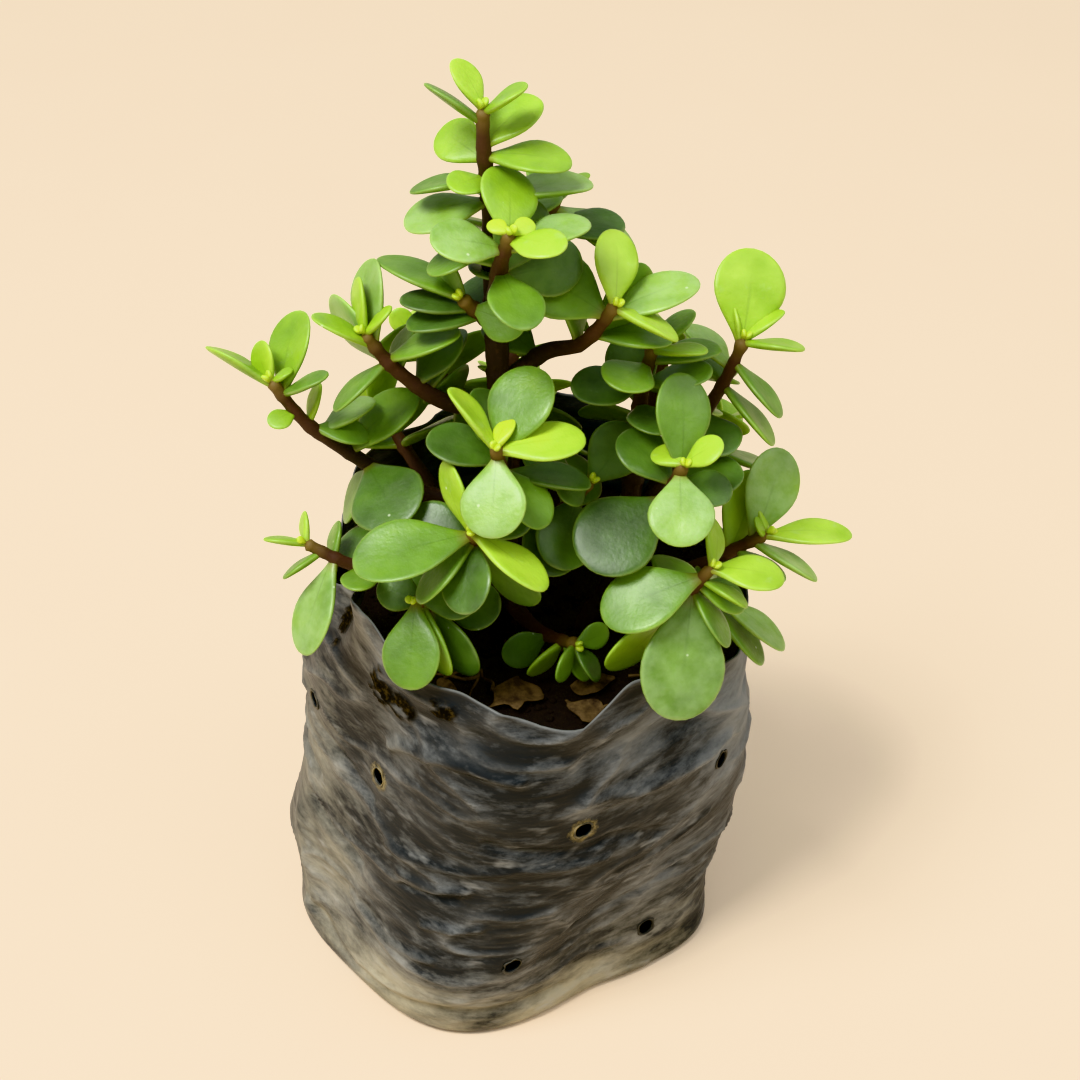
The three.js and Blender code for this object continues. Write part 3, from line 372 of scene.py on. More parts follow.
def draw(k):
    """A repeatable draw between -1 and 1 for each number k."""
    s = np.sin(np.asarray(k) * 12.9898 + 4.1) * 43758.5453
    return (s - np.floor(s)) * 2 - 1


def drawn(middle_and_spread, k):
    middle, spread = middle_and_spread
    return middle + spread * draw(k)


def lattice(cell, seed):
    """A repeatable value between -1 and 1 for each whole-numbered cell (..., 3)."""
    h = cell[..., 0] * 73856093 ^ cell[..., 1] * 19349663 ^ cell[..., 2] * 83492791 ^ seed * 265443576
    h = (h ^ h >> 13) & 0xFFFFFFFF
    h = h * 1274126177 & 0xFFFFFFFF
    return ((h ^ h >> 16) & 0xFFFFFF) / 0x7FFFFF - 1


def noise(points, seed):
    """Smooth repeatable noise between -1 and 1 at points (..., 3), about one bump to a unit."""
    low = np.floor(points).astype(np.int64)
    part = points - low
    part = part * part * (3 - 2 * part)
    total = 0
    for corner in range(8):
        step = np.array([corner & 1, corner >> 1 & 1, corner >> 2])
        total = total + np.where(step, part, 1 - part).prod(-1) * lattice(low + step, seed)
    return total


def smoothstep(low, high, x):
    t = np.clip((x - low) / (high - low), 0, 1)
    return t * t * (3 - 2 * t)


def turned(degrees, start):
    """How far a direction is turned from another, from -180 to 180 degrees."""
    return np.mod(degrees - start + 180, 360) - 180


def turns(sides):
    """The angles of so many points round a circle."""
    return np.linspace(0, 2 * math.pi, sides, endpoint=False)


def spokes(turn, across, up):
    """Directions turned from across towards up."""
    return np.cos(turn)[:, None] * across + np.sin(turn)[:, None] * up


def unit(v):
    return v / np.linalg.norm(v, axis=-1, keepdims=True)


def rotate(v, axis, angle):
    """v (..., 3) turned by angle round the unit axis."""
    c = np.cos(angle)[..., None]
    s = np.sin(angle)[..., None]
    return v * c + np.cross(axis, v) * s + axis * (axis * v).sum(-1, keepdims=True) * (1 - c)


def catmull_rom(a, b, c, d, t):
    return 0.5 * (2 * b + (c - a) * t + (2 * a - 5 * b + 4 * c - d) * t ** 2
                  + (3 * b - a - 3 * c + d) * t ** 3)


def smooth_route(points, steps):
    """A smooth line through the points of a route."""
    p = np.array(points, float)
    q = np.vstack([2 * p[0] - p[1], p, 2 * p[-1] - p[-2]])
    line = [catmull_rom(*q[i:i + 4], k / steps) for i in range(len(p) - 1) for k in range(steps)]
    return np.array([*line, p[-1]])


def back_from_tip(line, distance):
    """The point and heading that lie a distance back from a line's tip."""
    left = distance
    for i in range(len(line) - 1, 0, -1):
        span = line[i] - line[i - 1]
        length = np.linalg.norm(span)
        if left <= length or i == 1:
            return line[i] - span / length * left, span / length
        left -= length


def loft(rings, first=None, last=None):
    """Points and faces of a closed form through rings (rows, sides, 3), with a point at each end."""
    rows, sides, _ = rings.shape
    first = rings[0].mean(0) if first is None else first
    last = rings[-1].mean(0) if last is None else last
    at = 1 + np.arange(rows * sides).reshape(rows, sides)
    on = np.roll(at, -1, axis=1)
    quads = np.stack([at[:-1], on[:-1], on[1:], at[1:]], -1).reshape(-1, 4)
    end = 1 + rows * sides
    fans = [[0, b, a] for a, b in zip(at[0], on[0])] + [[end, a, b] for a, b in zip(at[-1], on[-1])]
    return np.vstack([first, rings.reshape(-1, 3), last]), [*quads.tolist(), *fans]


def ended(values, first=0, last=0):
    """A mark for the points of a loft: its rings' values, and one more at each end."""
    return np.concatenate([[first], np.ravel(values), [last]])


def gather(forms):
    """Several (points, faces, marks) as one."""
    points = []
    faces = []
    start = 0
    for form_points, form_faces, _ in forms:
        points.append(form_points)
        faces += [[start + i for i in face] for face in form_faces]
        start += len(form_points)
    marks = {name: np.concatenate([form[2][name] for form in forms]) for name in forms[0][2]}
    return np.vstack(points), faces, marks


def new_object(name, data):
    thing = bpy.data.objects.new(name, data)
    bpy.context.scene.collection.objects.link(thing)
    return thing


def new_mesh(name, points, faces):
    """A mesh from points in millimetres."""
    mesh = bpy.data.meshes.new(name)
    mesh.from_pydata((np.asarray(points) * MM).tolist(), [], faces)
    return mesh


def make_piece(name, form, material, stands_for=()):
    """A smooth mesh from (points in millimetres, faces, marks) that rides on the part's one body."""
    points, faces, marks = form
    mesh = new_mesh(name, points, faces)
    mesh.shade_smooth()
    for mark, values in marks.items():
        mesh.attributes.new(mark, "FLOAT", "POINT").data.foreach_set("value", np.float32(values))
    mesh.materials.append(material)
    piece = new_object(name, mesh)
    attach(piece, BODY)
    if stands_for:
        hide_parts(*stands_for)
    return piece


# ---- the bag's shape
def section_at(z):
    """Middle x, middle y, mean radius and squareness of the bag at heights z."""
    height = np.clip(z, SECTIONS[0, 0], SECTIONS[-1, 0])
    return [np.interp(height, SECTIONS[:, 0], SECTIONS[:, k]) for k in (1, 2, 3, 4)]


def round_value(rows, degrees):
    """The value a list of directions and values gives at any direction round the bag."""
    turn = turned(np.asarray(degrees, float), 0)
    i = np.searchsorted(rows[:, 0], turn, side="right") - 1
    following = np.append(rows[1:, 0], 180)[i]
    t = (turn - rows[i, 0]) / (following - rows[i, 0])
    return catmull_rom(*[rows[(i + k) % len(rows), 1] for k in (-1, 0, 1, 2)], t)


def rim_height(degrees):
    return round_value(RIM, degrees)


def wall_radius(degrees, z):
    """From the section's middle to the plain part's film: a slack rounded square, spread at the foot."""
    _, _, radius, square = section_at(z)
    turn = np.radians(degrees)
    slack = sum(depth * np.sin(waves * turn + z / rise) for depth, waves, rise in SLACK)
    corner = np.cos(4 * np.radians(degrees - CORNER_TURN))
    foot = round_value(FOOT, degrees)
    return foot + (radius * (1 + square * corner) + slack - foot) * smoothstep(0, FOOT_TOP, z)


def wall_noise(degrees, z, pattern):
    """Noise on the wall by one of the patterns above."""
    across, up, seed = pattern
    turn = np.radians(degrees)
    reach = BAG_ROUND / across
    return noise(np.stack(np.broadcast_arrays(reach * np.cos(turn), reach * np.sin(turn), z / up), -1), seed)


def wall_points(degrees, z, radius):
    """Points at so much radius from the section's middle."""
    x, y, _, _ = section_at(z)
    turn = np.radians(degrees)
    return np.stack(np.broadcast_arrays(x + radius * np.cos(turn), y + radius * np.sin(turn), z), -1)


def crease_depth(degrees, z, points, half_width):
    """How fully a crease through (direction, height) points marks the wall, from 0 to 1."""
    line = np.array(points, float)
    u = np.radians(turned(degrees, line[0, 0])) * BAG_ROUND
    line_u = np.radians(line[:, 0] - line[0, 0]) * BAG_ROUND
    nearest = np.full(np.shape(u), np.inf)
    for i in range(len(line) - 1):
        du = line_u[i + 1] - line_u[i]
        dz = line[i + 1, 1] - line[i, 1]
        t = np.clip(((u - line_u[i]) * du + (z - line[i, 1]) * dz) / (du * du + dz * dz), 0, 1)
        nearest = np.minimum(nearest, np.hypot(u - line_u[i] - t * du, z - line[i, 1] - t * dz))
    return np.exp(-(nearest / half_width) ** 2)


def back_creases():
    """Creases of the same kind on the sides and back, by a seeded draw."""
    rows = []
    for k in range(BACK_CREASES):
        start = BACK_START + BACK_STEP * k
        z = drawn(BACK_HEIGHT, k + 0.11)
        rise = drawn(BACK_RISE, k + 0.37)
        length = drawn(BACK_LENGTH, k + 0.53)
        depth = BACK_DEPTH[0] * np.sign(draw(k + 0.71)) + BACK_DEPTH[1] * draw(k + 0.77)
        points = [[start, z], [start + length / 2, z + rise / 2 - BACK_DIP], [start + length, z + rise]]
        rows.append([drawn(BACK_WIDTH, k + 0.9), depth, points])
    return rows


def drain_distance(degrees, z):
    """Millimetres along the film to the nearest drain hole's middle."""
    nearest = np.full(np.shape(z), np.inf)
    for hole_degrees, hole_z, _ in DRAINS:
        along = np.radians(turned(degrees, hole_degrees)) * BAG_ROUND
        nearest = np.minimum(nearest, np.hypot(along, z - hole_z))
    return nearest


def film_relief(degrees, z, bag):
    """How far the film stands out of the plain wall, and how sharply it is creased there from 0 to 1, which
    sets the painted highlight on the crests.
    """
    swell = wall_noise(degrees, z, SWELLS)
    skewed = z + (SKEW_BY[0] * swell + SKEW_BY[1] * wall_noise(degrees, z, SKEW))
    folds = (1 - np.abs(wall_noise(degrees, skewed, FOLDS))) ** SHARPNESS[0]
    lines = (1 - np.abs(wall_noise(degrees, skewed, WRINKLES))) ** SHARPNESS[1]
    places = smoothstep(*WRINKLED_FROM, wall_noise(degrees, z, WRINKLED_PLACES))
    relief = (bag.swell / MM * swell + bag.fold / MM * (folds - CREST_MEAN)
              + bag.wrinkle / MM * places * (lines - CREST_MEAN))
    for half_width, height, points in CREASES + back_creases():
        relief = relief + height * crease_depth(degrees, z, points, half_width)
    relief = relief * smoothstep(*BOTTOM_FADE, z) * smoothstep(*DRAIN_FLAT, drain_distance(degrees, z))
    below_rim = rim_height(degrees) - z
    for direction, half_width, inward, down in RIM_FOLDS:
        here = np.exp(-(turned(degrees, direction) / half_width) ** 2)
        relief = relief - inward * here * (1 - smoothstep(0, down, below_rim))
    slack_film = 1 - smoothstep(0, RIPPLES_DOWN, below_rim)
    relief = relief + RIPPLE_DEPTH * wall_noise(degrees, z, RIPPLES) * slack_film
    relief = relief + DIRT_THICK * dirt_on(degrees, z)
    return relief, np.clip(CREST_DUST_AND_SHEEN_BY[0] * folds + CREST_DUST_AND_SHEEN_BY[1] * places * lines, 0, 1)


def patches(rows, degrees, z):
    """The strongest of soft oval patches: direction, height, half width, half height and how much, or 1."""
    most = np.zeros(np.broadcast(degrees, z).shape)
    for direction, height, half_width, half_height, *strength in rows:
        away = turned(degrees, direction) / half_width
        here = np.exp(-away ** 2 - ((z - height) / half_height) ** 2)
        most = np.maximum(most, here * (strength[0] if strength else 1))
    return most


def dirt_on(degrees, z):
    """How thickly soil has dried on the film, from 0 to 1."""
    speckle = wall_noise(degrees, z, DIRT_LUMPS) + DIRT_GRAINY * wall_noise(degrees, z, DIRT_GRAINS)
    return smoothstep(*DIRT_EDGE, patches(STUCK_DIRT, degrees, z) * (1 + DIRT_UNEVEN * speckle))


def film_grid(bag, inset):
    """The film's surface as rings (rows, columns, 3) from the bottom to the rim, and its marks."""
    degrees = np.linspace(-180, 180, bag.columns, endpoint=False)[None, :]
    rim = rim_height(degrees) + RIM_RAGGED * wall_noise(degrees, 0, RIM_EDGE)
    bend = np.linspace(0, math.pi / 2, BEND_ROWS + 1)[:-1, None]
    share = np.linspace(0, 1, bag.rows)[:, None]
    z = np.vstack([np.repeat(BOTTOM_ROUND * (1 - np.cos(bend)), bag.columns, 1),
                   BOTTOM_ROUND + share * (rim - BOTTOM_ROUND)])
    tuck = np.vstack([BOTTOM_ROUND * (1 - np.sin(bend)), np.zeros_like(share)])
    relief, creased = film_relief(degrees, z, bag)
    points = wall_points(degrees, z, wall_radius(degrees, z) + relief - tuck - inset)
    points[..., 2] += min(inset, 1) * (z < BOTTOM_ROUND)
    crusts = [[at, height, *CRUST_REACH, stain] for at, height, stain in DRAINS]
    marks = {
        "creased": creased,
        "dirt": dirt_on(degrees, z),
        "pale": patches(PALE, degrees, z),
        "crust": patches(crusts, degrees, z),
        "rim": smoothstep(*RIM_HIGHLIGHT, rim - z),
    }
    return points, marks


def on_wall(degrees, z):
    """The point of the plain part's film at one direction and height."""
    return wall_points(degrees, z, wall_radius(degrees, z))


def drain_frame(degrees, z):
    """The middle of a drain hole and the directions across, up and out of it, square to the film there."""
    across = unit(on_wall(degrees + DRAIN_SPAN, z) - on_wall(degrees - DRAIN_SPAN, z))
    up = unit(on_wall(degrees, z + DRAIN_SPAN) - on_wall(degrees, z - DRAIN_SPAN))
    return on_wall(degrees, z), across, up, unit(np.cross(across, up))


def bag_form(bag):
    """The film as one thin closed shell, before its drain holes are punched."""
    film = bag.film / MM
    outside, marks = film_grid(bag, 0)
    inside, _ = film_grid(bag, film)
    points, faces = loft(np.concatenate([outside, inside[::-1]]))
    return points, faces, {name: ended([values, values[::-1]]) for name, values in marks.items()}


def punch_drains(piece, bag):
    """Cuts the round drain holes out of the film."""
    forms = []
    for degrees, z, _ in DRAINS:
        middle, across, up, away = drain_frame(degrees, z)
        circle = bag.drain / MM / 2 * spokes(turns(PUNCH_SIDES), across, up)
        rings = np.array([middle + circle + away * out for out in (-PUNCH_REACH, PUNCH_REACH)])
        forms.append((*loft(rings), {}))
    points, faces, _ = gather(forms)
    punches = new_object("punches", new_mesh("punches", points, faces))
    cut = piece.modifiers.new("drain_holes", "BOOLEAN")
    cut.operation = "DIFFERENCE"
    cut.solver = "MANIFOLD"
    cut.object = punches
    shown = piece.evaluated_get(bpy.context.evaluated_depsgraph_get())
    holed = bpy.data.meshes.new_from_object(shown)
    piece.modifiers.clear()
    piece.data = holed
    holed.shade_smooth()
    bpy.data.objects.remove(punches)


def drain_lips(bag):
    """The stretched lip of film round each hole, of uneven width."""
    forms = []
    turn = turns(LIP_COLUMNS)
    at = np.arange(LIP_SIDES * LIP_COLUMNS).reshape(LIP_SIDES, LIP_COLUMNS)
    on = np.roll(at, -1, 1)
    quads = np.stack([np.roll(at, -1, 0), np.roll(on, -1, 0), on, at], -1).reshape(-1, 4).tolist()
    for k, (degrees, z, stain) in enumerate(DRAINS):
        middle, across, up, away = drain_frame(degrees, z)
        place = [LIP_BUMPS * np.cos(turn), LIP_BUMPS * np.sin(turn), turn * 0 + k]
        wobble = noise(np.stack(place, -1), LIP_SEED)
        hole = bag.drain / MM / 2 * (1 + LIP_OVAL * wobble)
        half_width = LIP_WIDTH[0] + LIP_WIDTH[1] * wobble
        lip = []
        for tube in turns(LIP_SIDES):
            reach = hole + half_width * (1 + math.cos(tube))
            out = away * (LIP_HEIGHT[0] + LIP_HEIGHT[1] * math.sin(tube))
            lip.append(middle + spokes(turn, across, up) * reach[:, None] + out)
        forms.append((np.array(lip).reshape(-1, 3), quads, {"stain": np.full(at.size, stain)}))
    return gather(forms)


# ---- the soil's shape
def soil_height(x, y, lumps):
    """The crumbly top of the soil, level in front where the dead leaves lie."""
    (much, broad), (little, fine) = SOIL_WAVES
    rise = much * np.sin(x / broad + SOIL_PHASE) * np.cos(y / broad) + little * np.sin((x - y) / fine)
    back = smoothstep(LITTER_EDGE - LITTER_FADE, LITTER_EDGE + LITTER_FADE, y)
    place = np.stack([x, y, np.zeros_like(x)], -1)
    grain = sum(height * noise(place / size, seed) for height, size, seed in SOIL_GRAIN)
    grain = grain * (FRONT_GRAIN + (1 - FRONT_GRAIN) * back)
    return SOIL_TOP + back * lumps * rise + grain - SOIL_SUNK


def soil_form(bag, soil):
    """A closed plug whose top meets the film all round."""
    degrees = np.linspace(-180, 180, SOIL_SIDES, endpoint=False)
    rings = [wall_points(degrees, z, wall_radius(degrees, z) - SOIL_INSET) for z in SOIL_ROWS]
    relief, _ = film_relief(degrees, np.full_like(degrees, SOIL_TOP), bag)
    edge = wall_radius(degrees, SOIL_TOP) + relief - bag.film / MM - SOIL_CLEAR
    for share in np.linspace(1, SOIL_MIDDLE, SOIL_RINGS):
        ring = wall_points(degrees, SOIL_TOP, edge * share)
        ring[:, 2] = soil_height(ring[:, 0], ring[:, 1], soil.lumps / MM)
        rings.append(ring)
    return (*loft(np.array(rings)), {})


def crumb(middle, size, seed):
    """A lumpy clod: a small ball pushed in and out by noise."""
    tilt = np.linspace(0, math.pi, CRUMB_ROWS + 2)[1:-1, None]
    turn = turns(CRUMB_SIDES)
    way = np.stack(np.broadcast_arrays(np.sin(tilt) * np.cos(turn), np.sin(tilt) * np.sin(turn),
                                       np.cos(tilt)), -1)[::-1]
    depth, to_radius, pattern = CRUMB_LUMPS
    apart, turned_by = CRUMB_APART
    radius = size / 2 * (1 + depth * noise(way * to_radius + seed * apart, pattern))
    ball = way * radius[..., None] * CRUMB_SQUASH
    ball = rotate(ball, np.array([0, 0, 1.0]), np.full(radius.shape, seed * turned_by))
    points, faces = loft(ball + middle)
    return points, faces, {}


def soil_crumbs(soil):
    """Loose clods scattered over the top of the soil, thickest towards the film."""
    forms = []
    for k in range(soil.crumbs):
        degrees = 180 * draw(k + 0.15)
        share = CRUMB_SPREAD * math.sqrt(abs(draw(k + 0.45)))
        size = soil.crumb / MM * (CRUMB_SIZES[0] + CRUMB_SIZES[1] * draw(k + 0.75) ** 2)
        place = wall_points(degrees, SOIL_TOP, (wall_radius(degrees, SOIL_TOP) - CRUMB_INSET) * share)
        place[2] = soil_height(place[0], place[1], soil.lumps / MM) + size * CRUMB_LIFT
        forms.append(crumb(place, size, k))
    return gather(forms)


# ---- how the plant grows
@dataclass
class Leaf:
    """One blade: where it starts, which way it points and faces, its size, its shoot and its tone."""

    base: np.ndarray
    along: np.ndarray
    face: np.ndarray
    length: float
    width: float
    thick: float
    shoot: int
    seed: float
    ripeness: float = 1.0
    bloom: float = 0.0


def plain_leaves(first_turn, seed, count):
    """The leaf rows of a plain shoot: pairs that cross, each with a small draw of its own."""
    rows = []
    for i, (at, opening, length) in enumerate(PLAIN_PAIRS[:count]):
        for side in (0, 1):
            k = seed * 17 + i * 2 + side
            rows.append([
                at + side * PLAIN_SPREAD["apart"],
                first_turn + 90 * i + 180 * side + PLAIN_SPREAD["turn"] * draw(k + 0.3),
                opening + PLAIN_SPREAD["open"] * draw(k + 0.6),
                length * (1 + PLAIN_SPREAD["length"] * draw(k + 0.9)),
            ])
    return rows


for plain_name, (plain_route, *plain_rule) in PLAIN_SHOOTS.items():
    SHOOTS[plain_name] = (PLAIN_TONES, plain_route, plain_leaves(*plain_rule))


def grow_leaf(line, row, shoot, seed, tone):
    """A leaf as it leaves its stem."""
    at, turn, opening, length, twist, width = [*row, *[0, LEAF_WIDTH][len(row) - 4:]]
    base, heading = back_from_tip(line, at)
    right = unit(np.array([1.0, 0, 0]) - heading * heading[0])
    turn = math.radians(turn)
    opening = math.radians(opening)
    out = right * math.cos(turn) + np.cross(heading, right) * math.sin(turn)
    along = heading * math.cos(opening) + out * math.sin(opening)
    face = rotate(unit(heading - along * heading.dot(along)), along, np.radians(twist))
    thick = LEAF_THICK * min(1, LEAF_SLIM[0] + length / LEAF_SLIM[1])
    return Leaf(base, along, face, length, width * length, thick, shoot, seed, *TONES[tone])


PROBES = np.array([[0.32, 0], [0.52, -0.55], [0.52, 0.55], [0.6, 0], [0.78, -0.5], [0.78, 0.5],
                   [0.84, 0], [0.97, 0]])
OUTER_PROBE = 0.5  # on its own shoot a leaf is tested from here out
LEAF_ROOM = 3.2  # middle to middle, between two blades
STEM_ROOM = 1.8  # blade middle to stem skin
FILM_ROOM = 2.6
SETTLE_ROUNDS = 40
SETTLE_STEP = 0.5


def settle(leaves, stems):
    """Leans the leaves apart, off the stems and off the film, as they do in the plain part."""
    base = np.array([leaf.base for leaf in leaves])
    along = np.array([leaf.along for leaf in leaves])
    face = np.array([leaf.face for leaf in leaves])
    length = np.array([leaf.length for leaf in leaves])
    width = np.array([leaf.width for leaf in leaves])
    shoot = np.array([leaf.shoot for leaf in leaves])
    t, s = PROBES.T
    inner = t < OUTER_PROBE
    skin = np.vstack([line for line, _, _ in stems])
    room = np.concatenate([STEM_ROOM + np.linspace(*radii, len(line)) for line, radii, _ in stems])
    owner = np.concatenate([np.full(len(line), number) for line, _, number in stems])
    first, second = np.triu_indices(len(leaves), 1)
    for _ in range(SETTLE_ROUNDS):
        across = np.cross(face, along)
        rise = length[:, None] * (LEAF_CUP * s * s - LEAF_BEND * t * t)
        arm = (along[:, None] * (t * length[:, None])[..., None]
               + across[:, None] * (s * width[:, None] / 2)[..., None] + face[:, None] * rise[..., None])
        probes = base[:, None] + arm
        torque = np.zeros_like(base)
        weight = np.zeros(len(base))
        reach = np.linalg.norm(probes[first, 3] - probes[second, 3], axis=1)
        near = reach <= (length[first] + length[second]) / 2 + LEAF_ROOM
        a, b = first[near], second[near]
        apart = probes[a][:, :, None] - probes[b][:, None]
        distance = np.linalg.norm(apart, axis=-1)
        own = (shoot[a] == shoot[b])[:, None, None] & (inner[:, None] | inner)
        hit = (distance < LEAF_ROOM) & (distance >= 1e-6) & ~own
        share = np.where(hit, (LEAF_ROOM - distance) / np.maximum(distance, 1e-6) / 2, 0)
        by = apart * share[..., None]
        np.add.at(torque, a, np.cross(arm[a], by.sum(2)).sum(1))
        np.add.at(torque, b, np.cross(arm[b], -by.sum(1)).sum(1))
        long = (arm ** 2).sum(-1)
        np.add.at(weight, a, (long[a] * hit.sum(2)).sum(1))
        np.add.at(weight, b, (long[b] * hit.sum(1)).sum(1))
        apart = probes[:, :, None] - skin
        distance = np.linalg.norm(apart, axis=-1)
        own = (shoot[:, None, None] == owner) & inner[:, None]
        hit = (distance < room) & ~own
        share = np.where(hit, (room - distance) / np.maximum(distance, 1e-6), 0)
        torque += np.cross(arm, (apart * share[..., None]).sum(2)).sum(1)
        weight += (long * hit.sum(2)).sum(1)
        x, y, _, _ = section_at(probes[..., 2])
        dx, dy = probes[..., 0] - x, probes[..., 1] - y
        degrees = np.degrees(np.arctan2(dy, dx))
        off = np.hypot(dx, dy) - wall_radius(degrees, probes[..., 2])
        below = rim_height(degrees) + FILM_ROOM - probes[..., 2]
        on_rim = (below > 0) & (np.abs(off) < FILM_ROOM)
        sunk = SOIL_TOP + FILM_ROOM - probes[..., 2]
        in_soil = (off < 0) & (sunk > 0)
        lift = np.where(on_rim, np.minimum(below, FILM_ROOM), 0) + np.where(in_soil, sunk, 0)
        torque += np.cross(arm, lift[..., None] * [0, 0, 1.0]).sum(1)
        weight += (long * (on_rim.astype(int) + in_soil)).sum(1)
        spin = torque * (SETTLE_STEP * 2 / np.maximum(weight, 1e-9))[:, None]
        angle = np.linalg.norm(spin, axis=1)
        moved = (weight > 0) & (angle >= 1e-9)
        axis = spin / np.maximum(angle, 1e-12)[:, None]
        along = np.where(moved[:, None], rotate(along, axis, angle), along)
        face = np.where(moved[:, None], rotate(face, axis, angle), face)
    for leaf, new_along, new_face in zip(leaves, along, face):
        leaf.along = new_along
        leaf.face = new_face


def grow_plant():
    """Every shoot's leaves, leaned apart."""
    leaves = []
    stems = [(smooth_route(route, ROUTE_STEPS), radii, -1) for route, radii in WOOD.values()]
    for number, (tones, route, rows) in enumerate(SHOOTS.values()):
        line = smooth_route(route, ROUTE_STEPS)
        stems.append((line, SHOOT_RADII, number))
        for row, tone in zip(rows, tones):
            leaves.append(grow_leaf(line, row, number, len(leaves), tone))
    settle(leaves, stems)
    return leaves


def tip_buds(route, rows, number):
    """The pair of unopened leaves at a shoot's tip."""
    line = smooth_route(route, ROUTE_STEPS)
    turn, opening, length = BUD
    return [grow_leaf(line, [0, rows[0][1] + turn + side, opening, length], number,
                      BUD_SEED + number * 2 + side / 180, "b") for side in (0, 180)]


# ---- leaves and stems as meshes
def leaf_outline(t):
    """Half width of a blade over its greatest half width: a short stalk, then a round paddle."""
    swell = (1 - np.cos(np.pi * np.minimum(t, LEAF_WIDEST) / LEAF_WIDEST)) / 2
    stalk = LEAF_STALK + (1 - LEAF_STALK) * swell ** LEAF_SWELL
    paddle = np.sqrt(np.maximum(0, 1 - ((t - LEAF_WIDEST) / (1 - LEAF_WIDEST)) ** 2))
    return np.where(t > LEAF_WIDEST, paddle, stalk)


def leaf_form(leaf, settings):
    """A fleshy blade: round-edged sections through a cupped and bent middle surface."""
    cup = LEAF_CUP * (1 + LEAF_VARIES * draw(leaf.seed + 0.31))
    bend = LEAF_BEND * (1 + LEAF_VARIES * draw(leaf.seed + 0.57))
    t = (1 - np.cos(np.linspace(0, 1, settings.rows + 1)[:-1] * math.pi * BLADE_END)) / 2
    tip = np.sqrt(np.maximum(0, 1 - (np.maximum(t - TIP_FROM, 0) / TIP_RUN) ** 2))
    thickest = np.sin(np.pi * np.minimum(1, t + BLADE_AHEAD))
    half = leaf.thick / 2 * (BLADE_THIN + (1 - BLADE_THIN) * thickest) * tip
    turn = turns(settings.sides)
    power = 2 / settings.squareness
    s = np.sign(np.cos(turn)) * np.abs(np.cos(turn)) ** power
    up = np.sign(np.sin(turn)) * np.abs(np.sin(turn)) ** power
    across = np.cross(leaf.face, leaf.along)
    wide = leaf_outline(t)[:, None] * s
    rise = leaf.length * (cup * wide ** 2 - bend * t[:, None] ** 2) + half[:, None] * up
    rings = (leaf.base + leaf.along * (t * leaf.length)[:, None, None]
             + across * (wide * leaf.width / 2)[..., None] + leaf.face * rise[..., None])
    end = leaf.base + leaf.along * leaf.length - leaf.face * (leaf.length * bend)
    points, faces = loft(rings, leaf.base, end)
    flat = np.ones_like(wide)
    marks = {
        "along": ended(t[:, None] * flat, 0, 1),
        "across": ended(s * flat),
        "upper": ended(up * flat),
        "ripeness": np.full(len(points), leaf.ripeness + RIPENESS_VARIES * draw(leaf.seed + 0.17)),
        "bloom": np.full(len(points), leaf.bloom),
    }
    return points, faces, marks


def stem_form(line, radius, sides, relief, age):
    """A round stem along a line with its own radius, surface relief and age at each point."""
    heading = unit(np.gradient(line, axis=0))
    across = np.cross([0, 1.0, 0], heading[0])
    rings = []
    for point, ahead, r, rough in zip(line, heading, radius, relief):
        across = unit(across - ahead * across.dot(ahead))
        rings.append(point + (r + rough)[:, None] * spokes(turns(sides), across, np.cross(ahead, across)))
    points, faces = loft(np.array(rings))
    return points, faces, {"age": ended(np.repeat(age, sides), age[0], age[-1])}


def stem_lengths(line):
    """Distance of each point from the line's start."""
    return np.concatenate([[0], np.cumsum(np.linalg.norm(np.diff(line, axis=0), axis=1))])


def stem_noise(run, sides, pattern):
    """Noise on a stem by one of the bark patterns, not yet scaled to its rise."""
    _, across, along, seed = pattern
    turn = turns(sides)
    place = np.broadcast_arrays(across * np.cos(turn), across * np.sin(turn), run[:, None] / along)
    return noise(np.stack(place, -1), seed)


def shoot_stem(route, rows, settings):
    """A shoot's stem: swollen at each leaf pair, flared where it leaves the wood, rounded at the tip."""
    line = smooth_route(route, SHOOT_STEPS)
    run = stem_lengths(line)
    left = run[-1] - run
    radius = np.interp(run / run[-1], [0, 1], SHOOT_RADII)
    for row in rows:
        radius = radius + JOINT[0] * np.exp(-((left - row[0]) / JOINT[1]) ** 2)
    radius = radius * (1 + SHOOT_FLARE[0] * np.exp(-run / SHOOT_FLARE[1]))
    radius = radius * np.sqrt(np.clip(left / TIP_ROUND, TIP_BLUNT, 1))
    relief = SHOOT_SKIN[0] * stem_noise(run, settings.sides, SHOOT_SKIN)
    return stem_form(line, radius, settings.sides, relief, np.clip(left / YOUNG_STEM, 0, 1))


def wood_stem(route, radii, settings):
    """A trunk: fissured bark, rings where old leaves fell, and a flare at the soil."""
    line = smooth_route(route, WOOD_STEPS)
    run = stem_lengths(line)
    above = np.maximum(line[:, 2] - SOIL_TOP, 0)
    radius = np.interp(run / run[-1], [0, 1], radii) + SOIL_FLARE[0] * np.exp(-above / SOIL_FLARE[1])
    ring = run % (settings.scar_spacing / MM)
    for rise, where, half_width in SCARS:
        radius = radius + rise * np.exp(-((ring - where) / half_width) ** 2)
    fissures = (1 - np.abs(stem_noise(run, settings.wood_sides, FISSURES))) ** FISSURE_SHARPNESS
    relief = FISSURES[0] * fissures + PLATES[0] * stem_noise(run, settings.wood_sides, PLATES)
    return stem_form(line, radius, settings.wood_sides, relief, np.ones(len(line)))


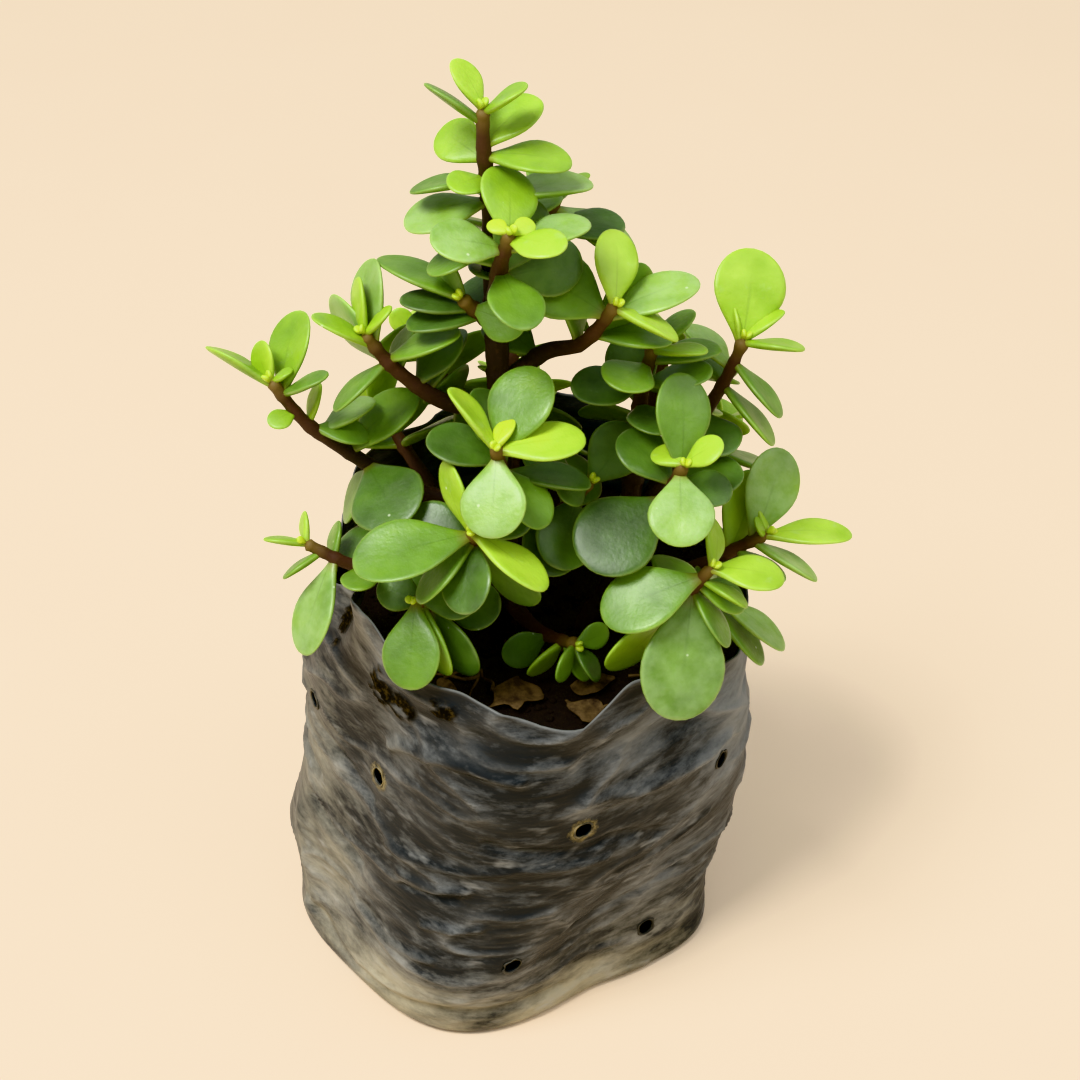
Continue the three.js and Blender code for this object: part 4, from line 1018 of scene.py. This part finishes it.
def dried_leaf(row, number, thick, settings):
    """A dead leaf on the soil: a thin blade pushed out of shape by noise."""
    x, y, heading, size, width = row
    base = np.array([x, y, SOIL_TOP + GAP + LITTER_THICK / 2 + LEAF_BEND * size])
    along = np.array([math.cos(math.radians(heading)), math.sin(math.radians(heading)), 0])
    leaf = Leaf(base, along, np.array([0, 0, 1.0]), size, width, thick, -1, number + LITTER_SEED)
    points, faces, marks = leaf_form(leaf, settings)
    pushed = [by * noise(points / bump, seed + number) for by, bump, seed in LITTER_RAGGED]
    points = points + np.stack(pushed, -1)
    points[:, 2] = np.maximum(points[:, 2], SOIL_TOP + LITTER_CLEAR)
    return points, faces, marks


def dry_stalks(litter):
    """Dry stalks and fibres strewn over the soil behind the front rim."""
    forms = []
    for k in range(litter.twigs):
        middle = np.array([drawn(STALK_X, k + 0.21), drawn(STALK_Y, k + 0.43), SOIL_TOP + STALK_LIFT])
        heading = math.pi * draw(k + 0.65)
        size = drawn(STALK_LENGTH, k + 0.87)
        way = np.array([math.cos(heading), math.sin(heading), 0])
        side = np.array([-way[1], way[0], 0])
        sideways, upright = STALK_BEND
        route = []
        for i in range(STALK_POINTS):
            ahead = way * size * (i / (STALK_POINTS - 1) - 0.5)
            aside = side * size * sideways * draw(k + i * 0.1)
            route.append(middle + ahead + aside + [0, 0, upright * draw(k + i * 0.3)])
        line = smooth_route(route, STALK_STEPS)
        radius = np.linspace(*STALK_RADII, len(line)) * (1 + STALK_VARIES * draw(k + 0.5))
        smooth = np.zeros((len(line), STALK_SIDES))
        forms.append(stem_form(line, radius, STALK_SIDES, smooth, np.zeros(len(line))))
    return gather(forms)


# ---- materials
def per(size_mm):
    """A texture scale whose pattern repeats about every so many millimetres."""
    return 1 / (size_mm * MM)


def add(tree, kind, values=None, stops=None, **settings):
    """Adds a node: settings are its properties, values fill or link its sockets, stops fill its ramp."""
    node = tree.nodes.new(kind)
    for name, value in settings.items():
        setattr(node, name, value)
    for name, value in (values or {}).items():
        if isinstance(value, bpy.types.NodeSocket):
            tree.links.new(value, node.inputs[name])
        else:
            node.inputs[name].default_value = value
    for i, (place, colour) in enumerate(stops or []):
        elements = node.color_ramp.elements
        element = elements[i] if i < 2 else elements.new(place)
        element.position = place
        element.color = colour
    return node


def new_material(name):
    """An empty node material, its tree, its place in the object, and a function that ends it in a shader."""
    material = bpy.data.materials.new(name)
    material.use_nodes = True
    tree = material.node_tree
    tree.nodes.clear()
    place = add(tree, "ShaderNodeTexCoord").outputs["Object"]

    def shade(values):
        shader = add(tree, "ShaderNodeBsdfPrincipled", values)
        add(tree, "ShaderNodeOutputMaterial", {"Surface": shader.outputs["BSDF"]})

    return material, tree, place, shade


def mark(tree, name):
    """A number stored on the mesh."""
    return add(tree, "ShaderNodeAttribute", attribute_name=name).outputs["Fac"]


def clouds(tree, place, size_mm, detail=3.0, roughness=0.5):
    return add(tree, "ShaderNodeTexNoise", {"Vector": place, "Scale": per(size_mm), "Detail": detail,
                                            "Roughness": roughness}).outputs["Fac"]


def between(tree, value, low, high, start=0.0, end=1.0):
    """Goes from start to end as value goes from low to high."""
    return add(tree, "ShaderNodeMapRange", {"Value": value, "From Min": low, "From Max": high,
                                            "To Min": start, "To Max": end}).outputs["Result"]


def combine(tree, operation, first, second):
    return add(tree, "ShaderNodeMath", {0: first, 1: second}, operation=operation).outputs[0]


def mixed(tree, share, under, over):
    """One colour laid over another."""
    return add(tree, "ShaderNodeMix", {0: share, 6: under, 7: over}, data_type="RGBA").outputs[2]


def bumps(tree, height, strength, depth_mm):
    return add(tree, "ShaderNodeBump", {"Height": height, "Strength": strength,
                                        "Distance": depth_mm * MM}).outputs["Normal"]


def blown_film(bag):
    """Low density polyethylene, blown as a thin tube and filled with carbon black.

    Blown film has a soft satin skin: broad dull highlights that break on every crease. On its black are
    painted highlights along the crests, painted blue-grey sheen over scuffs from handling, and tan dust low
    down.
    """
    material, tree, place, shade = new_material("blown_black_polyethylene_film")
    level = add(tree, "ShaderNodeMapping", {"Vector": place, "Scale": (1, 1, 2.8)}).outputs["Vector"]
    smear = clouds(tree, level, 24, 7.0, 0.65)
    patch = clouds(tree, level, 9, 6.0, 0.7)
    crinkle = clouds(tree, level, 8, 2.5, 0.5)
    split = add(tree, "ShaderNodeSeparateXYZ", {"Vector": place})
    # pale patches break up along the level wrinkles; they are tan with dust low down and at the left,
    # and elsewhere a painted blue-grey sheen, the light mirrored by the film, over a little scuffing
    broken = combine(tree, "ADD", between(tree, smear, 0.3, 0.7, -0.24, 0.24),
                     between(tree, patch, 0.3, 0.7, -0.28, 0.28))
    share = between(tree, combine(tree, "ADD", mark(tree, "pale"), broken), 0.0, 0.8)
    low = between(tree, split.outputs["Z"], bag.dust_height, 0.01)
    left = between(tree, split.outputs["X"], -0.005, -0.035, 0.0, 0.7)
    ground = combine(tree, "MAXIMUM", combine(tree, "MAXIMUM", low, left), 0.15)
    dust_and_sheen = mixed(tree, ground, bag.wear_and_sheen_colour, bag.dust_colour)
    tone = mixed(tree, combine(tree, "MULTIPLY", share, 0.85), bag.film_colour, dust_and_sheen)
    # the crests of the creases are painted paler in short level dashes, painted highlights with some dust; a
    # thin painted highlight runs along the rim's edge
    glint_dash = combine(tree, "MULTIPLY", between(tree, crinkle, 0.58, 0.72, 0.0, 0.5),
                   between(tree, smear, 0.42, 0.6))
    crest_dust_and_sheen = combine(tree, "MULTIPLY", mark(tree, "creased"), between(tree, patch, 0.35, 0.65, 0.1, 0.6))
    crest_dust_and_sheen = combine(tree, "MAXIMUM", glint_dash, crest_dust_and_sheen)
    crest_dust_and_sheen = combine(tree, "MAXIMUM", crest_dust_and_sheen, combine(tree, "MULTIPLY", mark(tree, "rim"), 0.35))
    crest_lit = mixed(tree, crest_dust_and_sheen, tone, bag.crest_dust_and_sheen_colour)
    # soil dried on under the rim, and crusts of soil salts round some of the drain holes
    grain = clouds(tree, place, 1.2, 5.0, 0.7)
    clod = mixed(tree, between(tree, grain, 0.5, 0.72), linear("#0c0a07"), linear("#50432a"))
    dirt = mark(tree, "dirt")
    crust = between(tree, combine(tree, "MULTIPLY", mark(tree, "crust"), grain), 0.16, 0.3)
    crusted = mixed(tree, crust, crest_lit, bag.lip_colour)
    colour = mixed(tree, dirt, crusted, clod)
    rough = combine(tree, "MAXIMUM", between(tree, share, 0.0, 1.0, 0.34, 0.62), dirt)
    lumps = combine(tree, "MULTIPLY", combine(tree, "MAXIMUM", dirt, crust), grain)
    # a skin of dust takes most of the gloss, so the floor is barely mirrored in it
    shade({"Base Color": colour, "Roughness": rough, "IOR": 1.51, "Specular IOR Level": 0.11,
           "Normal": bumps(tree, combine(tree, "ADD", crinkle, lumps), 0.6, 0.9)})
    return material


def stretched_film(bag):
    """The same film where a punch tore and stretched it: whitened, and stained yellow by soil water."""
    material, tree, place, shade = new_material("stretched_polyethylene_edge")
    uneven = clouds(tree, place, 2.5, 4.0)
    shown = combine(tree, "MULTIPLY", mark(tree, "stain"), between(tree, uneven, 0.35, 0.6))
    colour = mixed(tree, shown, linear("#33332f"), bag.lip_colour)
    shade({"Base Color": colour, "Roughness": 0.6, "IOR": 1.51, "Normal": bumps(tree, uneven, 0.5, 0.3)})
    return material


def potting_mix(soil):
    """Moist coir and bark potting mix: near-black crumbs with paler dry fibre showing between them."""
    material, tree, place, shade = new_material("moist_potting_mix")
    grain = clouds(tree, place, 1.6, 6.0, 0.7)
    damp = mixed(tree, between(tree, grain, 0.4, 0.6), soil.wet_colour, linear("#18110b"))
    colour = mixed(tree, between(tree, grain, 0.64, 0.84), damp, soil.dry_colour)
    shade({"Base Color": colour, "Roughness": 0.95, "IOR": 1.4, "Normal": bumps(tree, grain, 0.9, 0.8)})
    return material


def jade_bark(stems):
    """Young jade wood: green-brown at the tips, then thin brown bark that darkens and fissures with age."""
    material, tree, place, shade = new_material("jade_stem_bark")
    age = mark(tree, "age")
    young = mixed(tree, between(tree, age, 0.0, 0.2), stems.tip_colour, stems.shoot_colour)
    base = mixed(tree, between(tree, age, 0.3, 1.0), young, stems.trunk_colour)
    fleck = clouds(tree, place, 1.8, 5.0, 0.7)
    colour = mixed(tree, between(tree, fleck, 0.55, 0.85, 0.0, 0.4), base, linear("#6b5038"))
    shade({"Base Color": colour, "Roughness": 0.68, "IOR": 1.45, "Normal": bumps(tree, fleck, 0.6, 0.25)})
    return material


def waxy_leaf(leaves):
    """A jade leaf: water-filled flesh under a smooth wax skin.

    The flesh lets light soak in, so young blades glow yellow-green and old ones stay deep; the wax gives
    broad soft highlights, and on some grown leaves a grey-green bloom mixed with painted sheen; a painted
    highlight makes the thin edge paler.
    """
    material, tree, place, shade = new_material("waxy_jade_leaf")
    blotch = clouds(tree, place, 8)
    ripeness = combine(tree, "ADD", mark(tree, "ripeness"), between(tree, blotch, 0.25, 0.75, -0.1, 0.14))
    flesh = add(tree, "ShaderNodeValToRGB", {"Fac": ripeness}, stops=[
        (0.0, leaves.bud_colour), (1.0, leaves.old_colour), (0.18, leaves.young_colour),
        (0.4, leaves.lime_colour), (0.62, leaves.green_colour),
        (0.84, leaves.deep_colour)]).outputs["Color"]
    # the pale bloom and sheen are painted strongest on the leaf's upper face, the face towards the light
    upper = between(tree, mark(tree, "upper"), -0.2, 0.4, 0.4, 1.0)
    # the bloom is rubbed off in places and dried drops leave pale marks on any leaf; both bloom and marks
    # also carry painted sheen, light mirrored in smudges
    rubbed = clouds(tree, place, 4.5, 5.0, 0.6)
    drop_marks_and_glints = between(tree, rubbed, 0.6, 0.75, 0.0, 0.35)
    bloom = combine(tree, "MULTIPLY", mark(tree, "bloom"), between(tree, rubbed, 0.35, 0.6, 0.45, 1.1))
    bloom = combine(tree, "MAXIMUM", bloom, drop_marks_and_glints)
    sheened = mixed(tree, combine(tree, "MULTIPLY", bloom, upper), flesh, leaves.bloom_and_sheen_colour)
    # the base of a blade catches more wax, and its flesh thins towards the rim, where a pale painted
    # highlight runs along the edge
    along = mark(tree, "along")
    side = combine(tree, "ABSOLUTE", mark(tree, "across"), 0.0)
    rim = combine(tree, "MAXIMUM", between(tree, side, 0.9, 1.0), between(tree, along, 0.96, 1.0))
    edge_lit = mixed(tree, combine(tree, "MULTIPLY", rim, 0.22), sheened, leaves.edge_glow_colour)
    stalked = mixed(tree, between(tree, along, 0.16, 0.04, 0.0, 0.5), edge_lit, leaves.stalk_colour)
    # the one vein that shows is the midrib, a faint groove that fades towards the tip, painted darker as
    # shade in the groove
    midrib = combine(tree, "MULTIPLY", between(tree, side, 0.07, 0.01),
                     between(tree, along, 0.8, 0.25, 0.0, 0.22))
    midrib_shaded = mixed(tree, midrib, stalked, leaves.old_colour)
    # pale breathing pores and dust specks, one here and there
    cell = add(tree, "ShaderNodeTexVoronoi", {"Vector": place, "Scale": per(6)})
    chosen = add(tree, "ShaderNodeSeparateXYZ", {"Vector": cell.outputs["Color"]}).outputs["X"]
    dot = combine(tree, "MULTIPLY", between(tree, cell.outputs["Distance"], 0.06, 0.03, 0.0, 0.5),
                  combine(tree, "GREATER_THAN", chosen, 0.6))
    colour = mixed(tree, dot, midrib_shaded, linear("#d9e4c4"))
    # the skin's pebbling is about 0.5 mm; drawn at 0.9 mm so that it shows
    skin = combine(tree, "SUBTRACT", clouds(tree, place, 0.9, 2.0), midrib)
    # and the flesh under it is slightly uneven, which breaks up the broad highlights
    uneven = combine(tree, "ADD", combine(tree, "MULTIPLY", rubbed, 2.5), skin)
    rough = between(tree, blotch, 0.3, 0.7, 0.38, 0.52)
    shade({"Base Color": colour, "Roughness": rough, "IOR": 1.42, "Normal": bumps(tree, uneven, 0.35, 0.25),
           "Subsurface Weight": 0.2, "Subsurface Radius": (0.6, 1.0, 0.25), "Subsurface Scale": 1.2 * MM,
           "Coat Weight": 0.2, "Coat Roughness": 0.25, "Coat IOR": 1.45})
    return material


def dry_leaf(litter):
    """A shed leaf dried on the soil: papery, straw to brown, with dark blotches and no gloss."""
    material, tree, place, shade = new_material("dried_jade_leaf")
    blotch = clouds(tree, place, 3.5, 5.0, 0.65)
    colour = mixed(tree, between(tree, blotch, 0.38, 0.66), litter.dark_colour, litter.straw_colour)
    shade({"Base Color": colour, "Roughness": 0.85, "IOR": 1.4, "Normal": bumps(tree, blotch, 0.7, 0.5)})
    return material


def plain_floor(stage):
    """A matt painted board: pale, with the faintest unevenness of a rolled coat."""
    material, tree, place, shade = new_material("matt_painted_board")
    coat = between(tree, clouds(tree, place, 60), 0.3, 0.7, 0.0, 0.04)
    colour = mixed(tree, coat, stage.floor_colour, linear("#c9a98a"))
    shade({"Base Color": colour, "Roughness": 0.9, "IOR": 1.45, "Specular IOR Level": 0.2})
    return material


# ---- settings a user would change
def length(name, size_mm, description):
    return FloatProperty(name=name, description=description, default=size_mm * MM, min=0.0,
                         subtype="DISTANCE", unit="LENGTH", precision=5)


def count(name, number, least, description):
    return IntProperty(name=name, description=description, default=number, min=least)


def watts(name, power, description):
    return FloatProperty(name=name, description=description, default=power, min=0.0,
                         subtype="POWER", unit="POWER")


def tint(name, code, description):
    return FloatVectorProperty(name=name, description=description, default=linear(code), size=4,
                               min=0.0, max=1.0, subtype="COLOR")


class BagSettings(PropertyGroup):
    film: length("Film", 0.4, "Thickness of the film, heavier than the real 0.1 mm so that its edge shows")
    swell: length("Swell", 1.1, "Height of the broad swells where the soil presses on the film")
    fold: length("Fold", 0.9, "Height of the long level folds")
    wrinkle: length("Wrinkle", 0.28, "Height of the small wrinkles between the folds")
    drain: length("Drain hole", 3.8, "Width of the punched drain holes")
    dust_height: length("Dust height", 30, "How far up the wall the dried dirt thins out")
    columns: count("Columns", 340, 64, "Columns of the film's mesh")
    rows: count("Rows", 150, 32, "Rows of the film's mesh")
    film_colour: tint("Film", "#282b2d", "Black film where it is clean")
    # painted blue-grey sheen, the light mirrored by the film, over film greyed by handling
    wear_and_sheen_colour: tint("Worn film", "#767d82", "Film greyed by handling")
    # painted highlight along the crests of creases, with some dust
    crest_dust_and_sheen_colour: tint("Crease", "#a2a29c", "Film whitened where it was creased")
    dust_colour: tint("Dust", "#aca48a", "Dried dirt low down and on the left")
    lip_colour: tint("Hole lip", "#8c7f5c", "Stretched film round the drain holes, stained by soil water")


class SoilSettings(PropertyGroup):
    lumps: length("Lumps", 2.2, "How far the crumbly top rises and falls")
    crumb: length("Crumb", 1.5, "Middling width of a loose clod")
    crumbs: count("Crumbs", 420, 1, "Number of loose clods")
    wet_colour: tint("Wet", "#120c08", "Moist mix")
    dry_colour: tint("Dry fibre", "#46321e", "Drier fibre between the crumbs")


class StemSettings(PropertyGroup):
    scar_spacing: length("Scar spacing", 8.5, "Distance between the rings where old leaves fell")
    sides: count("Shoot sides", 14, 6, "Sides of a shoot's stem")
    wood_sides: count("Wood sides", 36, 8, "Sides of the trunk")
    tip_colour: tint("Tip", "#6d5a2c", "Green-brown tip of a shoot")
    shoot_colour: tint("Shoot", "#432a1b", "Red-brown young stem")
    trunk_colour: tint("Trunk", "#20140d", "Old bark")


class LeafSettings(PropertyGroup):
    rows: count("Rows", 18, 6, "Rows of mesh along a leaf")
    sides: count("Sides", 20, 6, "Sides of a leaf's sections")
    squareness: FloatProperty(name="Edge fullness", default=2.3, min=1.5, max=4.0, subtype="FACTOR",
                              description="2 gives a lens-shaped edge, more a blunter one")
    bud_colour: tint("Bud", "#b2c63a", "Unopened leaves")
    young_colour: tint("Young", "#a3c244", "Young leaves")
    lime_colour: tint("Lime", "#84a827", "Leaves of the last season")
    green_colour: tint("Green", "#5f851f", "Grown leaves")
    deep_colour: tint("Deep", "#406119", "Older leaves")
    old_colour: tint("Old", "#2c4515", "Oldest leaves, low in the plant")
    # painted sheen mixed into the wax bloom
    bloom_and_sheen_colour: tint("Bloom", "#a0ba80", "Wax bloom")
    # painted highlight along a leaf's thin edge
    edge_glow_colour: tint("Edge", "#b4c974", "Thin edge of a leaf")
    stalk_colour: tint("Stalk", "#7d5a2c", "Where a leaf meets the stem")


class LitterSettings(PropertyGroup):
    thick: length("Leaf thickness", 0.55, "Thickness of a dried leaf")
    twigs: count("Twigs", 14, 1, "Number of dry stalks and fibres")
    straw_colour: tint("Straw", "#66543a", "Dried leaf")
    dark_colour: tint("Brown", "#2b2016", "Rotting patches")


class StageSettings(PropertyGroup):
    floor_size: length("Floor", 12000, "Width of the floor")
    key_power: watts("Key light", 14.0, "Power of the large soft light")
    fill_power: watts("Fill light", 3.0, "Power of the light from the right")
    sky: FloatProperty(name="Sky", description="Strength of the even light all round", default=0.64, min=0.0)
    floor_colour: tint("Floor colour", "#f8e2c4", "Pale warm floor")
    sky_colour: tint("Sky colour", "#f1f3f6", "Even light all round")


# ---- one operator for each piece
class JADE_OT_grow_bag(Operator):
    """Make the creased film bag with its rim, folds and punched drain holes"""

    bl_idname = "jade.grow_bag"
    bl_label = "Grow bag"

    def execute(self, context):
        bag = context.scene.jade_bag
        piece = make_piece("film_grow_bag", bag_form(bag), blown_film(bag), ["grow_bag"])
        punch_drains(piece, bag)
        make_piece("drain_hole_lips", drain_lips(bag), stretched_film(bag))
        return {"FINISHED"}


class JADE_OT_potting_soil(Operator):
    """Make the soil and the loose crumbs on it"""

    bl_idname = "jade.potting_soil"
    bl_label = "Potting soil"

    def execute(self, context):
        bag = context.scene.jade_bag
        soil = context.scene.jade_soil
        mix = potting_mix(soil)
        make_piece("potting_soil", soil_form(bag, soil), mix, ["soil"])
        make_piece("soil_crumbs", soil_crumbs(soil), mix)
        return {"FINISHED"}


class JADE_OT_woody_stems(Operator):
    """Make the barked trunk and the side stem"""

    bl_idname = "jade.woody_stems"
    bl_label = "Trunk and side stem"

    def execute(self, context):
        stems = context.scene.jade_stems
        bark = jade_bark(stems)
        for name, (route, radii) in WOOD.items():
            make_piece(f"{name}_bark", wood_stem(route, radii, stems), bark, [name])
        return {"FINISHED"}


class JADE_OT_leafy_shoots(Operator):
    """Make each shoot's stem and its fleshy leaves"""

    bl_idname = "jade.leafy_shoots"
    bl_label = "Leafy shoots"

    def execute(self, context):
        stems = context.scene.jade_stems
        settings = context.scene.jade_leaves
        leaves = grow_plant()
        flesh = waxy_leaf(settings)
        bark = bpy.data.materials.get("jade_stem_bark") or jade_bark(stems)
        for number, (name, (_, route, rows)) in enumerate(SHOOTS.items()):
            own = [leaf for leaf in leaves if leaf.shoot == number] + tip_buds(route, rows, number)
            blades = gather([leaf_form(leaf, settings) for leaf in own])
            make_piece(f"leaves_{name}", blades, flesh, [f"shoot_{name}"])
            make_piece(f"stem_{name}", shoot_stem(route, rows, stems), bark, [f"shoot_{name}"])
        return {"FINISHED"}


class JADE_OT_litter(Operator):
    """Make the curled dead leaves and dry stalks on the soil"""

    bl_idname = "jade.litter"
    bl_label = "Dead leaves"

    def execute(self, context):
        litter = context.scene.jade_litter
        settings = context.scene.jade_leaves
        straw = dry_leaf(litter)
        for k, row in enumerate(LITTER):
            form = dried_leaf(row, k, litter.thick / MM, settings)
            make_piece(f"dried_leaf_{k + 1}", form, straw, [f"dead_leaf_{k + 1}"])
        make_piece("dry_stalks", dry_stalks(litter), straw)
        return {"FINISHED"}


CAMERA_PLACE = (11.5, -334, 388)
CAMERA_DOWN = 40  # degrees below level
FOCAL_PIXELS = 2015  # of the 1080 pixel wide image
IMAGE_PIXELS = 1080
SENSOR = 36
# Soft lights: name, place, width, then the setting that holds its power.
LIGHTS = [
    ["key_light", (-380, -300, 1050), 420, "key_power"],
    ["fill_light", (620, -200, 900), 700, "fill_power"],
]


class JADE_OT_stage(Operator):
    """Make the pale floor, the soft lights and the camera"""

    bl_idname = "jade.stage"
    bl_label = "Floor, light and camera"

    def execute(self, context):
        scene = context.scene
        stage = scene.jade_stage
        half = stage.floor_size / 2 / MM
        corners = [(-half, -half, 0), (half, -half, 0), (half, half, 0), (-half, half, 0)]
        mesh = new_mesh("floor", corners, [(0, 1, 2, 3)])
        mesh.materials.append(plain_floor(stage))
        floor = new_object("floor", mesh)
        low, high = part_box("grow_bag")
        aim = (low + high) / 2
        for name, place, width, power in LIGHTS:
            lamp = bpy.data.lights.new(name, "AREA")
            lamp.size = width * MM
            lamp.energy = getattr(stage, power)
            light = new_object(name, lamp)
            light.location = [p * MM for p in place]
            light.rotation_euler = (aim - light.location).to_track_quat("-Z", "Y").to_euler()
        world = bpy.data.worlds.new("studio")
        world.use_nodes = True
        sky = world.node_tree.nodes["Background"]
        sky.inputs["Color"].default_value = stage.sky_colour
        sky.inputs["Strength"].default_value = stage.sky
        scene.world = world
        scene.view_settings.view_transform = "Khronos PBR Neutral"
        lens = bpy.data.cameras.new("camera")
        lens.sensor_width = SENSOR
        lens.lens = SENSOR * FOCAL_PIXELS / IMAGE_PIXELS
        camera = new_object("camera", lens)
        camera.location = [p * MM for p in CAMERA_PLACE]
        camera.rotation_euler = (math.radians(90 - CAMERA_DOWN), 0, 0)
        scene.camera = camera
        return {"FINISHED"}


OPERATORS = [JADE_OT_grow_bag, JADE_OT_potting_soil, JADE_OT_woody_stems, JADE_OT_leafy_shoots,
             JADE_OT_litter, JADE_OT_stage]


class JADE_PT_sidebar(Panel):
    """Lists the pieces in the order they are made"""

    bl_idname = "JADE_PT_sidebar"
    bl_label = "Potted jade plant"
    bl_space_type = "VIEW_3D"
    bl_region_type = "UI"
    bl_category = "Jade plant"

    def draw(self, context):
        for operator in OPERATORS:
            self.layout.operator(operator.bl_idname)


SETTINGS = {"jade_bag": BagSettings, "jade_soil": SoilSettings, "jade_stems": StemSettings,
            "jade_leaves": LeafSettings, "jade_litter": LitterSettings, "jade_stage": StageSettings}


def register():
    for name, group in SETTINGS.items():
        bpy.utils.register_class(group)
        setattr(bpy.types.Scene, name, PointerProperty(type=group))
    for kind in [*OPERATORS, JADE_PT_sidebar]:
        bpy.utils.register_class(kind)


def unregister():
    for kind in [JADE_PT_sidebar, *reversed(OPERATORS)]:
        bpy.utils.unregister_class(kind)
    for name, group in reversed(SETTINGS.items()):
        delattr(bpy.types.Scene, name)
        bpy.utils.unregister_class(group)


def main():
    register()
    bpy.ops.jade.grow_bag()
    bpy.ops.jade.potting_soil()
    bpy.ops.jade.woody_stems()
    bpy.ops.jade.leafy_shoots()
    bpy.ops.jade.litter()
    bpy.ops.jade.stage()


if __name__ == "__main__":
    main()
